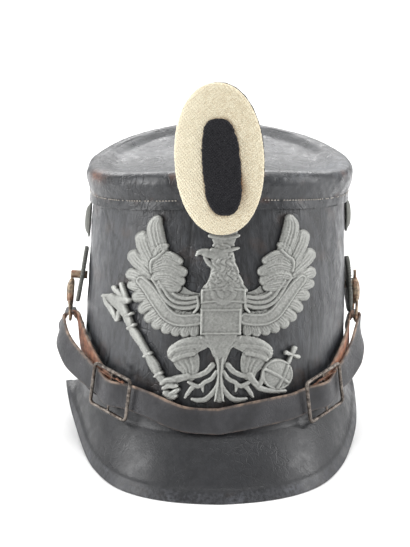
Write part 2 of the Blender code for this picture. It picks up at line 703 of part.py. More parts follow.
def make_lug(side, look):
    stand = side.lug_out * STRAP_OUT
    boss = [(row.radius * LUG_RADIUS, row.height * LUG_THICK) for row in LUG_ROWS]
    item = new_object(f"lug_{side.name}", loft(disc(boss, 16), poles=(False, True)), look)
    stud = disc([(LUG_STUD, -stand + GAP * 2), (LUG_STUD, LUG_THICK * 0.5)], 8)
    stud_item = new_object("stud", loft(stud), look)
    rise = Vector((0, side.stud_over * LUG_RADIUS, 0))
    place_on(stud_item, rise, Vector((1, 0, 0)), Vector((0, 1, 0)), Vector((0, 0, 1)))
    parts = [stud_item]
    pin = disc([(LUG_STUD * 0.4, 0.0), (LUG_STUD * 0.4, LUG_RADIUS * PIN_REACH)], 6)
    pin_item = new_object("pin", loft(pin), look)
    place_on(pin_item, Vector((0, 0, LUG_THICK * 0.35)), Vector((1, 0, 0)), Vector((0, 0, 1)), Vector((0, 1, 0)))
    parts.append(pin_item)
    origin, round_hat, up, face = side_axes(side, lug_height())
    outer = strap_station(STRAP_ROWS[-1], side.sign)[0]
    inner = strap_station(STRAP_RETURN_ROWS[0], side.sign)[0]
    bar = (outer + inner) / 2
    seat = origin + face * stand
    low = Vector(((bar - seat).dot(round_hat), (bar - seat).dot(up), (bar - seat).dot(face)))
    top = Vector((low.x * 0.5, -LUG_RADIUS * 0.45, LUG_THICK * 0.45))
    path = []
    for x, share in ((0.5, 0.0), (0.5, 0.5), (0.42, 1.0), (-0.42, 1.0), (-0.5, 0.5), (-0.5, 0.0)):
        spot = low.lerp(top, share)
        path.append(Vector((spot.x + x * LOOP_WIDTH, spot.y, spot.z)))
    plane = (top - low).cross(Vector((1, 0, 0))).normalized()
    parts.append(new_object("loop", tube(path, LOOP_WIRE, 6, plane, True), look))
    unite(item, parts)
    return place_on(item, seat, round_hat, up, face)


def badge_middle():
    return CROWN_HEIGHT + BADGE_OVER


def badge_place(across, up, out):
    """A point of the badge: across and up its face, out from its back."""
    turn = BADGE_TURN
    x = across * math.cos(turn) - up * math.sin(turn)
    z = across * math.sin(turn) + up * math.cos(turn)
    front = wall(0.0, badge_middle() - BADGE_HEIGHT / 2)
    plate_depth = PLATE_THICK + RELIEF * 1.5
    back = front.y - plate_depth - 3 * GAP
    return Vector((x + BADGE_ASIDE, back - out + z * math.tan(TIP_BACK) * 0.4, badge_middle() + z))


def badge_surface(across, up):
    """How far the domed face stands out of the badge's back."""
    share = (2 * across / BADGE_WIDTH) ** 2 + (2 * up / BADGE_HEIGHT) ** 2
    return BADGE_EDGE + (BADGE_THICK - BADGE_EDGE) * math.sqrt(max(1.0 - share, 0.0))


def oval(width, height, out_of, power=BADGE_POWER, aside=0.0, down=0.0, sides=28):
    ring = []
    for a in turns(sides):
        scale = (abs(math.cos(a)) ** power + abs(math.sin(a)) ** power) ** (-1 / power)
        across = aside + width / 2 * math.cos(a) * scale
        up = height / 2 * math.sin(a) * scale - down
        ring.append(badge_place(across, up, out_of(across, up)))
    return ring


def make_badge_body(look):
    start = BADGE_BOARD + GAP
    rings = [oval(BADGE_WIDTH * 0.97, BADGE_HEIGHT * 0.985, lambda u, v: start)]
    rings.append(oval(BADGE_WIDTH, BADGE_HEIGHT, lambda u, v: start + BADGE_EDGE * 0.5))
    for share in (0.96, 0.84, 0.60, 0.25):
        rings.append(oval(BADGE_WIDTH * share, BADGE_HEIGHT * share, lambda u, v: start + badge_surface(u, v)))
    return new_object("badge_body", loft(rings, poles=(True, True)), look)


def make_badge_centre(look):
    start = BADGE_BOARD + 2 * GAP
    rings = []
    for share, lift in ((0.5, 0.0), (1.0, 0.0), (0.94, 1.0), (0.5, 1.0)):
        rings.append(oval(BADGE_CENTRE_WIDTH * share, BADGE_CENTRE_HEIGHT * share,
                          lambda u, v: start + badge_surface(u, v) + BADGE_CENTRE_THICK * lift,
                          BADGE_CENTRE_POWER, BADGE_CENTRE_ASIDE, BADGE_CENTRE_DOWN))
    return new_object("badge_centre", loft(rings, poles=(True, True)), look)


def make_badge_board(look):
    rings = [oval(BADGE_WIDTH * 0.99, BADGE_HEIGHT * 0.99, lambda u, v: 0.0),
             oval(BADGE_WIDTH * 0.99, BADGE_HEIGHT * 0.99, lambda u, v: BADGE_BOARD)]
    shift = Vector((BADGE_WIDTH * 0.014, 0, BADGE_HEIGHT * 0.004))
    rings = [[spot + shift for spot in ring] for ring in rings]
    return new_object("badge_board", loft(rings), look)


def make_badge_post(look):
    """The hidden bracket between the cap's band and the badge's back."""
    height = ridge_height(0.0) - BAND_DEPTH * 0.35
    front = badge_place(0.0, height - badge_middle(), 0.0)
    band = wall(0.0, height, SHOULDER_OUT * 1.02)
    rings = []
    for y in (band.y - 2 * GAP, front.y + 3 * GAP):
        rings.append([Vector((band.x + x * POST_WIDTH / 2, y, height + z * POST_HEIGHT / 2))
                      for x, z in ((1, 1), (-1, 1), (-1, -1), (1, -1))])
    return new_object("badge_post", loft(rings), look)


def stroke_solid(points, top, edge, crest):
    """A raised stroke of the flat plate: a low roof along a line of (across, up, half width)."""
    rise = plate_rise()
    places = [Vector((a * PLATE_SPAN, b * rise, 0)) for a, b, _ in points]
    halves = [w * PLATE_SPAN for _, _, w in points]
    fine = smooth_route(places, PLATE_SLICE)
    lengths = np.cumsum([0.0] + [(b - a).length for a, b in zip(places, places[1:])])
    along_fine = np.cumsum([0.0] + [(b - a).length for a, b in zip(fine, fine[1:])])
    along_fine = along_fine * lengths[-1] / along_fine[-1]
    rings = []
    for i, spot in enumerate(fine):
        along = (fine[min(i + 1, len(fine) - 1)] - fine[max(i - 1, 0)]).normalized()
        side = Vector((-along.y, along.x, 0)) * float(np.interp(along_fine[i], lengths, halves))
        up = Vector((0, 0, 1))
        rings.append([spot + side, spot + side + up * edge, spot + side * crest + up * top,
                      spot - side * crest + up * top, spot - side + up * edge, spot - side])
    return loft(rings)


def mirrored(points):
    return tuple((-a, b, w) for a, b, w in points)


def make_eagle(look):
    parts = []
    level = 0

    def add(points, height, crest=STROKE_CREST):
        nonlocal level
        level += 1
        lift = level * 0.000002
        top = PLATE_THICK + RELIEF * height + lift
        edge = PLATE_THICK + RELIEF * height * 0.55 + lift
        parts.append(new_object("stroke", stroke_solid(points, top, edge, crest), look))

    for row in FEATHERS:
        middle = ((row.root_across + row.tip_across) / 2, (row.root_up + row.tip_up) / 2)
        line = ((row.root_across, row.root_up, row.width * 0.40), (*middle, row.width * 0.55),
                (row.tip_across * 0.85 + middle[0] * 0.15, row.tip_up * 0.85 + middle[1] * 0.15,
                 row.width * 0.46), (row.tip_across, row.tip_up, row.width * 0.18))
        add(line, 0.60, FEATHER_CREST)
        add(mirrored(line), 0.60, FEATHER_CREST)
    for row in STROKES:
        add(row.points, row.height)
        if row.both:
            add(mirrored(row.points), row.height)
    plate = parts[0]
    # The strokes share one flat back, where EXACT leaves open edges
    unite(plate, parts[1:], "MANIFOLD")
    plate.name = "eagle_plate"
    plate.data.name = "eagle_plate"
    slice_for_bending(plate.data)
    for vert in plate.data.vertices:
        vert.co = plate_place(vert.co)
    plate.data.update()
    plate.data.shade_smooth()
    plate.data.set_sharp_from_angle(angle=math.radians(35))
    return plate


def plate_foot():
    """The plate stands just above the upper edge of the strap's front stretch."""
    return STRAP_ROWS[0].rise_right * STRAP_RISE + STRAP_WIDTH / 2 + PLATE_CLEAR


def plate_rise():
    """From the tail's tip to the wing tips, which end just under the band."""
    return CROWN_HEIGHT - BAND_DEPTH - GAP - plate_foot()


def slice_for_bending(mesh):
    """Cut the flat plate's wide faces into strips, so that it can follow the round wall."""
    maker = bmesh.new()
    maker.from_mesh(mesh)
    count = int(PLATE_SPAN * 1.3 / PLATE_SLICE)
    for index in range(-count, count + 1):
        everything = maker.verts[:] + maker.edges[:] + maker.faces[:]
        place = Vector(((index + 0.5) * PLATE_SLICE, 0, 0))
        bmesh.ops.bisect_plane(maker, geom=everything, plane_co=place, plane_no=Vector((1, 0, 0)))
    maker.to_mesh(mesh)
    maker.free()


def plate_place(spot):
    """Bend a point of the flat plate onto the front of the crown."""
    height = plate_foot() + spot.y
    angle = spot.x / (BASE_WIDTH / 2)
    for _ in range(8):
        angle += (spot.x - (wall(angle, height).x - wall(0.0, height).x)) / (BASE_WIDTH / 2)
    height -= PLATE_WRAP * (wall(angle, height).y - wall(0.0, height).y)
    _, _, outward = wall_frame(angle, height)
    return wall(angle, height) + outward * (spot.z + GAP * 2)


def main():
    clear_scene()
    black_leather = material("black_leather", (0.075, 0.078, 0.085), 0.48)
    peak_leather = material("peak_leather", (0.065, 0.068, 0.074), 0.42)
    strap_leather = material("strap_leather", (0.060, 0.055, 0.055), 0.50)
    grey_metal = material("grey_metal", (0.36, 0.37, 0.35), 0.45, 0.7)
    dark_wire = material("dark_wire", (0.20, 0.17, 0.15), 0.40, 0.9)
    worn_brass = material("worn_brass", (0.30, 0.22, 0.15), 0.50, 0.8)
    cream_cloth = material("cream_cloth", (0.80, 0.72, 0.50), 0.90)
    black_cloth = material("black_cloth", (0.015, 0.014, 0.018), 0.95)
    dark_board = material("dark_board", (0.03, 0.03, 0.04), 0.80)

    pieces = [make_crown(black_leather), make_cap(black_leather)]
    pieces.append(make_peak("front_peak", FRONT_PEAK_ROWS, FRONT_REACH, 0.0, peak_leather))
    pieces.append(make_peak("rear_peak", REAR_PEAK_ROWS, REAR_REACH, 180.0, peak_leather))
    pieces.append(make_strap(strap_leather))
    for side in SIDES:
        pieces.append(make_buckle(side, dark_wire))
        pieces.append(make_lug(side, worn_brass))
        pieces.append(make_cockade(side, grey_metal))
        pieces.append(make_vent(side, grey_metal))
    pieces += [make_badge_body(cream_cloth), make_badge_centre(black_cloth), make_badge_board(dark_board)]
    pieces.append(make_badge_post(dark_wire))
    pieces.append(make_eagle(grey_metal))

    hat = bpy.data.objects.new("hat", None)
    bpy.context.scene.collection.objects.link(hat)
    hat.rotation_euler = (-TIP_BACK, 0.0, 0.0)
    for piece in pieces:
        piece.parent = hat
    settle(hat, pieces)


def settle(hat, pieces):
    """Stand the tipped hat on the floor, its box centred over the origin."""
    bpy.context.view_layer.update()
    corners = [piece.matrix_world @ vert.co for piece in pieces for vert in piece.data.vertices]
    low = [min(corner[k] for corner in corners) for k in range(3)]
    high = [max(corner[k] for corner in corners) for k in range(3)]
    hat.location = (-(low[0] + high[0]) / 2, -(low[1] + high[1]) / 2, -low[2])
    bpy.context.view_layer.update()


main()
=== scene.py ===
"""The leather shako dressed for the camera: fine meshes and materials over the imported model."""
import math
from collections import namedtuple

import bpy
import numpy as np
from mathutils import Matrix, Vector


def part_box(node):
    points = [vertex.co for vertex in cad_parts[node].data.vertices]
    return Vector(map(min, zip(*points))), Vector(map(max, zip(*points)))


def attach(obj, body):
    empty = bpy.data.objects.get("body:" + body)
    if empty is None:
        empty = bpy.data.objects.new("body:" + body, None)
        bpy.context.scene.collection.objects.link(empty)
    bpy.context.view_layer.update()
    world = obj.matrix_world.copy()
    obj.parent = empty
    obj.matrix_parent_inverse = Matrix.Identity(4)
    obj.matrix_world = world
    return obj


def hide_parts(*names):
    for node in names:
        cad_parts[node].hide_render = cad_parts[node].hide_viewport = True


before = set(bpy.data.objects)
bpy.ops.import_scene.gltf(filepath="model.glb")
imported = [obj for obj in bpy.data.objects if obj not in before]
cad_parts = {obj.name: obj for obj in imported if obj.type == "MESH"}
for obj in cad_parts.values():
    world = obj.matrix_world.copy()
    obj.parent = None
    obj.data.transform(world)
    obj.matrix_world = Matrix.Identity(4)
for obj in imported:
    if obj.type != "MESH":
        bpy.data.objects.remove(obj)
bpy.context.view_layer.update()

# Sizes repeated from the part's source, in metres
BASE_WIDTH = 0.1634
BASE_LENGTH = 0.2046
CROWN_HEIGHT = 0.147
SIDE_DIP = 0.0100
TOP_LEAN = 0.0050
TOP_BACK = 0.0031
OVAL_POWER = 2.1
LEATHER = 0.0025
GAP = 0.0003
AROUND = 40
CAP_LEATHER = 0.0020
SHOULDER_OUT = 0.0046
BAND_DEPTH = 0.0215
LID_RISE = 0.0008
TIP_BACK = math.radians(5.1)
FRONT_REACH = 0.0300
FRONT_DROP = 0.0372
REAR_REACH = 0.0200
PEAK_LEATHER = 0.0026
PEAK_GAP = 0.0006
FLANGE_HEIGHT = 0.0050
PEAK_SEAT = 0.0022
PEAK_BEND_OUT = 0.52
PEAK_BEND_DOWN = 0.38
RIM_WIDTH = 0.0080
RIM_RAISE = 0.0007
STRAP_WIDTH = 0.0155
STRAP_LEATHER = 0.0016
BUCKLE_LENGTH = 0.0345
BUCKLE_WIDTH = 0.0250
BUCKLE_WIRE = 0.0011
BUCKLE_BAR = 0.0008
BUCKLE_CORNER = 0.0025
BUCKLE_ANGLE = 44.0
STRAP_RISE = 0.0380
STRAP_OUT = 0.0100
LUG_SHARE = 0.364
LUG_RADIUS = 0.0083
PIN_REACH = 1.60
LUG_THICK = 0.0045
LUG_STUD = 0.0025
LOOP_WIDTH = 0.0200
LOOP_WIRE = 0.0009
COCKADE_RADIUS = 0.0176
COCKADE_THICK = 0.0018
VENT_RADIUS = 0.0112
VENT_RISE = 0.0036
BADGE_WIDTH = 0.0510
BADGE_HEIGHT = 0.0876
BADGE_THICK = 0.0060
BADGE_EDGE = 0.0030
BADGE_TURN = math.radians(3.0)
BADGE_OVER = 0.0095
BADGE_ASIDE = 0.0010
BADGE_POWER = 2.15
BADGE_CENTRE_WIDTH = 0.0215
BADGE_CENTRE_HEIGHT = 0.0550
BADGE_CENTRE_THICK = 0.0012
BADGE_CENTRE_POWER = 2.8
BADGE_CENTRE_ASIDE = 0.0010
BADGE_CENTRE_DOWN = 0.0040
BADGE_BOARD = 0.0014
PLATE_CLEAR = 0.0012
PLATE_THICK = 0.0011
RELIEF = 0.0026
PLATE_WRAP = 0.34
EDGE_DROP = CAP_LEATHER + 3 * GAP       # the crown wall ends this far under the ridge
CROWN_CUTS = (0.0, 0.18, 0.36, 0.54, 0.72, 0.87, 1.0)       # where the part's source cuts the wall

# What only this script draws: counts of points, rings of the cap, and lengths in metres
COLUMNS = 440
CROWN_ROUNDS = 84
INNER_ROUNDS = 16
INNER_SINK = 0.0004
CAP_STEPS = 5
LID_SHARES = (0.93, 0.86, 0.78, 0.69, 0.59, 0.48, 0.37, 0.26, 0.15, 0.07)
EDGE_RINGS = 4              # the cap's thickness, under its band
LID_RINGS = 14              # the last rings of its section, which lie on the lid
STITCH_RING = 9
SHOULDER_RING = 24
CORNER_RING = 26
STITCH_DOWN = 0.76 * BAND_DEPTH
STITCH_OUT = SHOULDER_OUT * 0.535
STITCH_PITCH = 0.0020
STITCH_LENGTH = 0.00125
STITCH_RADIUS = 0.00032
STITCH_SKIPPED = 0.25
STRAP_STEP = 0.0009         # between cuts of the strap
SLOPE_REACH = 0.0006        # either side of a point of the peak's section
END_COLUMNS = 26            # of the strap's torn ends
END_ROWS = 12
BADGE_SIDES = 300
BADGE_CENTRE_SIDES = 220

CrownRow = namedtuple("CrownRow", "height width length")
CROWN_ROWS = (
    CrownRow(0.00, 1.000, 1.000),
    CrownRow(0.30, 0.991, 0.948),
    CrownRow(0.62, 0.966, 0.877),
    CrownRow(0.82, 0.951, 0.833),
    CrownRow(1.00, 0.950, 0.800),
)
DentRow = namedtuple("DentRow", "angle height spread depth")
CROWN_DENTS = (
    DentRow(-38, 0.42, 13, 0.45),
    DentRow(33, 0.66, 15, -0.35),
    DentRow(58, 0.30, 12, 0.45),
    DentRow(-72, 0.70, 14, -0.40),
    DentRow(150, 0.45, 22, 0.60),
    DentRow(-140, 0.62, 20, 0.50),
)
CapRow = namedtuple("CapRow", "out down")
CAP_ROWS = (
    CapRow(0.50, 1.00),
    CapRow(0.54, 0.74),
    CapRow(0.82, 0.50),
    CapRow(1.00, 0.31),
    CapRow(0.86, 0.14),
    CapRow(0.34, 0.03),
    CapRow(-0.55, 0.00),
    CapRow(-1.50, 0.05),
    CapRow(-2.70, 0.17),
    CapRow(-4.20, 0.20),
)
PeakRow = namedtuple("PeakRow", "angle reach_right reach_left rise")
FRONT_PEAK_ROWS = (
    PeakRow(0, 1.00, 1.00, 0.00),
    PeakRow(32, 0.87, 0.87, 0.00),
    PeakRow(46, 0.60, 0.58, 0.00),
    PeakRow(56, 0.44, 0.40, 0.05),
    PeakRow(66, 0.37, 0.32, 0.27),
    PeakRow(78, 0.26, 0.32, 0.58),
    PeakRow(89, 0.20, 0.36, 0.86),
)
REAR_PEAK_ROWS = (
    PeakRow(0, 1.00, 1.00, 0.00),
    PeakRow(24, 0.92, 0.92, 0.00),
    PeakRow(38, 0.72, 0.72, 0.08),
    PeakRow(50, 0.46, 0.46, 0.38),
    PeakRow(60, 0.24, 0.24, 0.72),
)
StrapRow = namedtuple("StrapRow", "angle rise_right rise_left out_right out_left turn flare")
STRAP_ROWS = (
    StrapRow(0, 0.125, 0.125, 0.60, 0.60, 0, 0),
    StrapRow(14, 0.200, 0.150, 0.60, 0.60, 0, 0),
    StrapRow(28, 0.235, 0.300, 0.60, 0.60, 4, 0),
    StrapRow(36.5, 0.290, 0.355, 0.66, 0.66, 6, 0),
    StrapRow(44, 0.325, 0.375, 1.04, 1.04, 8, 0),
    StrapRow(53.5, 0.390, 0.430, 0.66, 0.66, 12, 0),
    StrapRow(60, 0.470, 0.500, 0.78, 0.85, 24, 10),
    StrapRow(70, 0.600, 0.620, 0.88, 1.20, 38, 26),
    StrapRow(79, 0.740, 0.800, 0.95, 1.50, 54, 20),
    StrapRow(85.5, 0.890, 0.960, 0.95, 1.48, 74, 0),
    StrapRow(88, 0.980, 1.050, 0.93, 1.30, 88, 0),
)
STRAP_RETURN_ROWS = (
    StrapRow(88, 0.980, 1.050, 0.36, 0.60, 88, 0),
    StrapRow(85.5, 0.930, 1.000, 0.30, 0.44, 78, 0),
    StrapRow(79, 0.840, 0.920, 0.27, 0.36, 62, 0),
    StrapRow(70, 0.730, 0.800, 0.30, 0.36, 44, 0),
    StrapRow(60, 0.580, 0.620, 0.36, 0.38, 26, 0),
    StrapRow(53.5, 0.460, 0.480, 0.40, 0.42, 14, 0),
    StrapRow(45.5, 0.345, 0.390, 0.62, 0.62, 8, 0),
)
SideRow = namedtuple("SideRow", "name sign lug_out stud_over cockade_tilt vent_drop")
SIDES = (
    SideRow("left", -1, 0.84, 1.40, 6.0, 0.32),
    SideRow("right", 1, 0.53, 0.52, 2.0, 0.10),
)

# The photograph's frame: the plate's flat coordinates come from its pixels
PLATE_MIDDLE_PX = 223.6
PLATE_FOOT_PX = 405.0
MM_PER_PX = 0.571
CELL_MM = 0.36
PLATE_GRID = ((-70.0, 56.0), (-2.0, 112.0))     # mm across and up
OVERLAP_DEPTH = 0.30
BLUR_ROUNDS = 9
LEAST_MM = 0.5
EDGE_MM = 0.9

# name (for the reader), mirrored, level mm, rise mm, profile, points of (pixel x, pixel y, half width px)
PlateRow = namedtuple("PlateRow", "name both level rise profile points")
PLATE_ROWS = tuple(PlateRow(*row) for row in (
    ("web", True, 0.9, 0.3, "flat", ((200, 306, 12), (184, 304, 15), (168, 292, 16), (157, 274, 15),
     (154, 256, 11), (158, 240, 8))),
    ("web_low", True, 0.8, 0.3, "flat", ((199, 322, 9), (182, 322, 9.5), (166, 315, 10), (152, 301, 9),
     (143, 287, 8))),
    ("f5", True, 0.9, 1.0, "broad", ((154, 288, 6), (141, 284, 6.5), (134, 281.8, 5.4))),
    ("f4", True, 1.0, 1.0, "broad", ((154, 281, 6), (139, 273, 6.5), (133.4, 270.8, 6.3))),
    ("f3", True, 1.2, 1.0, "broad", ((156, 274, 6), (141, 260, 7), (135.2, 252.6, 6.6))),
    ("f2", True, 1.4, 1.0, "broad", ((158, 268, 6), (147, 247, 7.5), (143.2, 235.0, 7.2))),
    ("f1", True, 1.6, 1.0, "broad", ((166, 262, 6.5), (158.5, 240, 8.2), (155.5, 226, 8),
     (157.3, 218, 5.1))),
    ("f6", True, 0.9, 1.0, "broad", ((157, 295, 6), (146, 294, 6.5), (139.5, 294, 6.2))),
    ("f7", True, 1.0, 1.0, "broad", ((161, 301, 6), (150, 304, 6.5), (146, 306.6, 6.0))),
    ("f8", True, 1.1, 1.0, "broad", ((167, 307, 6), (158, 313, 6.5), (152.6, 316.2, 6.0))),
    ("f9", True, 1.0, 1.0, "broad", ((173, 311, 6), (164, 320, 6.5), (160.2, 323.2, 6.0))),
    ("f10", True, 1.1, 1.0, "broad", ((180, 314, 6), (173, 324, 6.3), (169.6, 328.2, 5.8))),
    ("f11", True, 1.0, 1.0, "broad", ((187, 316, 6), (181.5, 327, 6), (178.9, 331.0, 5.6))),
    ("f12", True, 1.1, 1.0, "broad", ((193, 317, 6), (189.5, 329, 5.6), (188.2, 332.8, 5.4))),
    ("f13", True, 1.0, 1.0, "broad", ((199, 318, 5.5), (197.5, 329, 5.2), (197, 333.0, 5.0))),
    ("c0", True, 1.7, 0.9, "broad", ((158, 262, 5), (162, 250, 5.5), (166.5, 245, 3.2))),
    ("c1", True, 1.8, 0.9, "broad", ((157, 262, 5), (168, 256, 6), (180, 261, 4.6))),
    ("c2", True, 1.9, 0.9, "broad", ((157, 268, 5), (170, 266, 6.5), (183.5, 272, 5.4))),
    ("c3", True, 2.0, 0.9, "broad", ((159, 276, 5), (170, 276, 6.5), (181.5, 281, 5.4))),
    ("c4", True, 2.1, 0.8, "broad", ((163, 284, 5), (172, 286, 6), (179, 287.5, 4.4))),
    ("bone", True, 2.6, 0.8, "round", ((166, 250, 1.2), (160, 255.5, 1.5), (154.6, 259, 1.6),
     (153.8, 265, 1.4), (154.5, 270, 1.2))),
    ("arm_fill", True, 2.0, 0.4, "flat", ((201, 302, 6.5), (188, 303, 7.5), (177, 300, 8.0),
     (168, 291, 7.0), (160, 280, 4.5))),
    ("arm_a", True, 2.3, 0.9, "round", ((199, 297.5, 1.9), (190, 298.5, 1.9), (182, 297, 1.8),
     (176, 293, 1.4))),
    ("arm_b", True, 2.3, 0.9, "round", ((199, 301.5, 1.9), (189, 303, 1.9), (179, 301.5, 1.9),
     (172, 296, 1.8), (167, 288, 1.7), (162, 280, 1.3))),
    ("arm_c", True, 2.3, 0.9, "round", ((199, 306, 1.9), (190, 308, 1.9), (179, 306.5, 1.9),
     (171, 301, 1.9), (165, 293, 1.8), (160, 284, 1.6), (155, 277, 1.3))),
    ("wing_scroll", True, 2.4, 0.4, "bordered", ((200, 319.5, 6.3), (190.4, 320.5, 6.2),
     (180, 319.5, 6.3), (171, 314, 6.5), (164.5, 305.5, 6.4), (158, 296, 6.2), (151.5, 286.5, 5.8),
     (144, 278, 4.8))),
    ("curl", True, 2.6, 0.9, "round", ((196.5, 312.6, 1.3), (200.2, 308.0, 1.4), (200.6, 302.0, 1.3),
     (199.5, 298, 1.0))),
    ("body", False, 1.6, 1.5, "flat", ((223.6, 300, 23), (223.6, 320, 22), (223.6, 334, 18),
     (223.6, 344, 12), (223.6, 352, 9))),
    ("neck", False, 1.8, 1.8, "shag", ((225, 292, 19.0), (225.0, 283, 15.5), (224.3, 272, 12.6),
     (223.4, 262, 12.4), (223.0, 254, 10.5))),
    ("neck_tuft_a", False, 1.6, 1.2, "broad", ((232, 272, 4.4), (238, 278, 3.8), (243.0, 284, 2.0))),
    ("neck_tuft_b", False, 1.6, 1.2, "broad", ((231, 264, 4.4), (235, 268, 3.4), (238.6, 273, 1.8))),
    ("neck_tuft_c", False, 1.6, 1.1, "broad", ((234, 282, 4.4), (241, 287, 4.0), (247.0, 291, 2.2))),
    ("cheek", False, 2.6, 1.5, "round", ((223, 255, 7.0), (214, 254.5, 5.4), (206, 254, 3.6))),
    ("beak", False, 2.8, 1.0, "round", ((208, 252.5, 3.8), (202, 252.2, 3.2), (198.8, 253.4, 2.0),
     (197.4, 256.0, 0.9))),
    ("brow", False, 3.4, 0.7, "round", ((212, 249.8, 1.6), (222, 251.5, 1.9), (231, 250.5, 1.9),
     (238.2, 248.8, 1.4))),
    ("jaw", False, 2.2, 1.0, "round", ((206, 258, 2.0), (210, 264, 2.6), (215, 267.5, 2.2))),
    ("crown_band", False, 2.0, 0.7, "flat", ((215.0, 246.2, 2.5), (223.8, 246.4, 2.7),
     (232.4, 246.2, 2.5))),
    ("crown_mid", False, 1.8, 1.0, "round", ((224, 243, 9.2), (224, 238, 12.0), (224, 232, 13.5))),
    ("crown_rim", False, 2.4, 0.8, "round", ((209.8, 236.4, 1.9), (224, 238.6, 2.2), (238.0, 236.4, 1.9))),
    ("chest_scroll", False, 3.2, 0.45, "plaque", ((202.9, 289.3, 0), (247.0, 304.3, 1.5))),
    ("shield", False, 3.0, 0.45, "plaque", ((203.0, 308.9, 0), (243.2, 335.5, 0))),
    ("thigh_high", True, 2.1, 0.7, "flat", ((206, 343, 7), (190, 348, 10), (181, 353, 10))),
    ("thigh_low", True, 1.4, 0.6, "broad", ((190, 360, 13), (193.5, 368, 9.5), (194.3, 375, 7))),
    ("belly", False, 1.9, 0.6, "shag", ((223.6, 336, 17), (223.6, 344, 12), (223.6, 352, 8))),
    ("belly_a", False, 2.2, 0.7, "round", ((206, 339, 2.6), (223.6, 344.6, 3.0), (241.2, 339, 2.6))),
    ("belly_b", False, 2.0, 0.7, "round", ((210, 345, 2.4), (223.6, 350.0, 2.8), (237.2, 345, 2.4))),
    ("hip", True, 2.4, 0.9, "round", ((203, 346, 2.2), (190, 347.5, 2.4), (180, 350, 2.4),
     (174.5, 355, 2.2))),
    ("hip_cuff", True, 2.4, 0.9, "round", ((197, 354, 2.4), (186, 356.5, 2.4), (178, 360, 2.2))),
    ("tail_stem", False, 1.4, 0.9, "round", ((224, 350, 9.0), (224, 362, 5.2), (223.8, 373, 3.4),
     (223.6, 392, 4.4), (223.6, 400.5, 4.4))),
    ("tail_quill", True, 2.2, 0.8, "round", ((219.0, 350, 1.4), (221.8, 366, 1.2), (222.0, 384, 1.1),
     (219.4, 402.5, 1.0))),
    ("tail_low", True, 1.4, 0.9, "round", ((224, 373, 2.0), (222.4, 383, 2.2), (219.4, 391, 2.6),
     (210.7, 400.5, 2.8), (203, 402.0, 2.6), (196.6, 400.5, 1.6))),
    ("frond_a", True, 1.5, 1.0, "round", ((216, 366, 3.0), (210.4, 372.4, 2.8), (203.0, 376.2, 2.6),
     (197, 377, 2.4), (190.5, 378.6, 2.2))),
    ("frond_b", True, 1.5, 1.0, "round", ((220, 373, 2.2), (215.4, 379.8, 2.4), (208.5, 383.6, 2.4),
     (205.4, 386.4, 2.2), (201, 387.4, 2.4), (193, 383, 1.8))),
    ("frond_c", True, 1.4, 0.9, "round", ((200.5, 387.2, 2.2), (196.6, 388.8, 2.4), (192, 395, 2.2),
     (190, 399.0, 1.2))),
    ("thorn_a", True, 1.3, 0.7, "round", ((206.0, 386.5, 2.6), (207.5, 393.4, 0.7))),
    ("claw_left", False, 1.8, 1.5, "round", ((192, 377.0, 3.6), (186, 378.6, 3.8), (179, 380.5, 4.4),
     (173, 384, 4.8))),
    ("toe_a", False, 2.8, 1.2, "round", ((180, 380.4, 2.4), (172, 380.4, 2.8), (167.6, 383.4, 2.4))),
    ("toe_b", False, 2.8, 1.2, "round", ((181, 386.4, 2.4), (174, 386.4, 2.6), (169.5, 388.4, 2.4))),
    ("toe_c", False, 2.6, 1.2, "round", ((183, 390.4, 2.2), (178.4, 393.4, 2.8), (175.6, 394.6, 2.2))),
    ("claw_right", False, 1.8, 1.2, "round", ((253, 376.6, 3.6), (258.5, 384, 3.3), (265, 390.0, 3.2),
     (277, 392.4, 2.8), (289, 392.3, 2.2))),
    ("claw_back", False, 1.8, 1.0, "round", ((262, 388, 3.0), (266.0, 381.5, 2.4), (266.6, 374, 1.6))),
    ("shaft_a", False, 1.8, 1.4, "round", ((123, 296, 3.4), (127.5, 307, 3.2), (132.2, 318, 3.6),
     (135.5, 325, 2.4))),
    ("shaft_b", False, 1.8, 1.5, "round", ((135.8, 326, 3.0), (140.0, 333, 3.8), (146.8, 344, 3.2),
     (152.0, 354, 3.2))),
    ("shaft_c", False, 1.8, 1.6, "round", ((152.6, 355, 3.0), (157.6, 363.5, 4.6), (161.6, 371.5, 4.0),
     (164.2, 376, 2.6))),
    ("shaft_d", False, 2.0, 1.5, "round", ((163.4, 375.4, 3.4), (166.6, 379.8, 3.6))),
    ("shaft_end", False, 2.4, 1.4, "round", ((171.5, 393.6, 3.6), (176.6, 397.6, 3.8),
     (180.4, 397.0, 2.6))),
    ("ring_a", False, 2.6, 0.9, "round", ((130.4, 313.2, 1.6), (135.6, 310.8, 1.6))),
    ("ring_b", False, 2.6, 0.9, "round", ((133.2, 325.8, 1.7), (138.8, 322.6, 1.7))),
    ("ring_c", False, 2.6, 0.9, "round", ((149.6, 355.4, 1.7), (155.0, 352.2, 1.7))),
    ("ring_d", False, 2.8, 0.9, "round", ((160.6, 376.2, 1.7), (166.2, 372.8, 1.7))),
    ("head_a", False, 1.8, 1.5, "round", ((118, 295, 4.4), (125, 296.5, 5.2), (130.5, 297.5, 3.0))),
    ("head_b", False, 1.7, 1.5, "round", ((113.5, 292.5, 4.0), (119, 297.5, 5.2), (124.5, 304, 4.6),
     (127.5, 310, 3.4))),
    ("prong_a", False, 1.6, 1.1, "round", ((121.5, 293.5, 2.8), (113.5, 291.6, 2.6), (106.2, 290.2, 1.9))),
    ("prong_b", False, 1.6, 1.1, "round", ((123.5, 291.5, 2.6), (119.0, 286.8, 2.4), (116.0, 282.6, 2.0))),
    ("prong_c", False, 1.6, 1.1, "round", ((107.2, 290.4, 1.5), (109.4, 297.5, 2.3), (113.6, 303.6, 2.6),
     (120.4, 316.6, 1.9))),
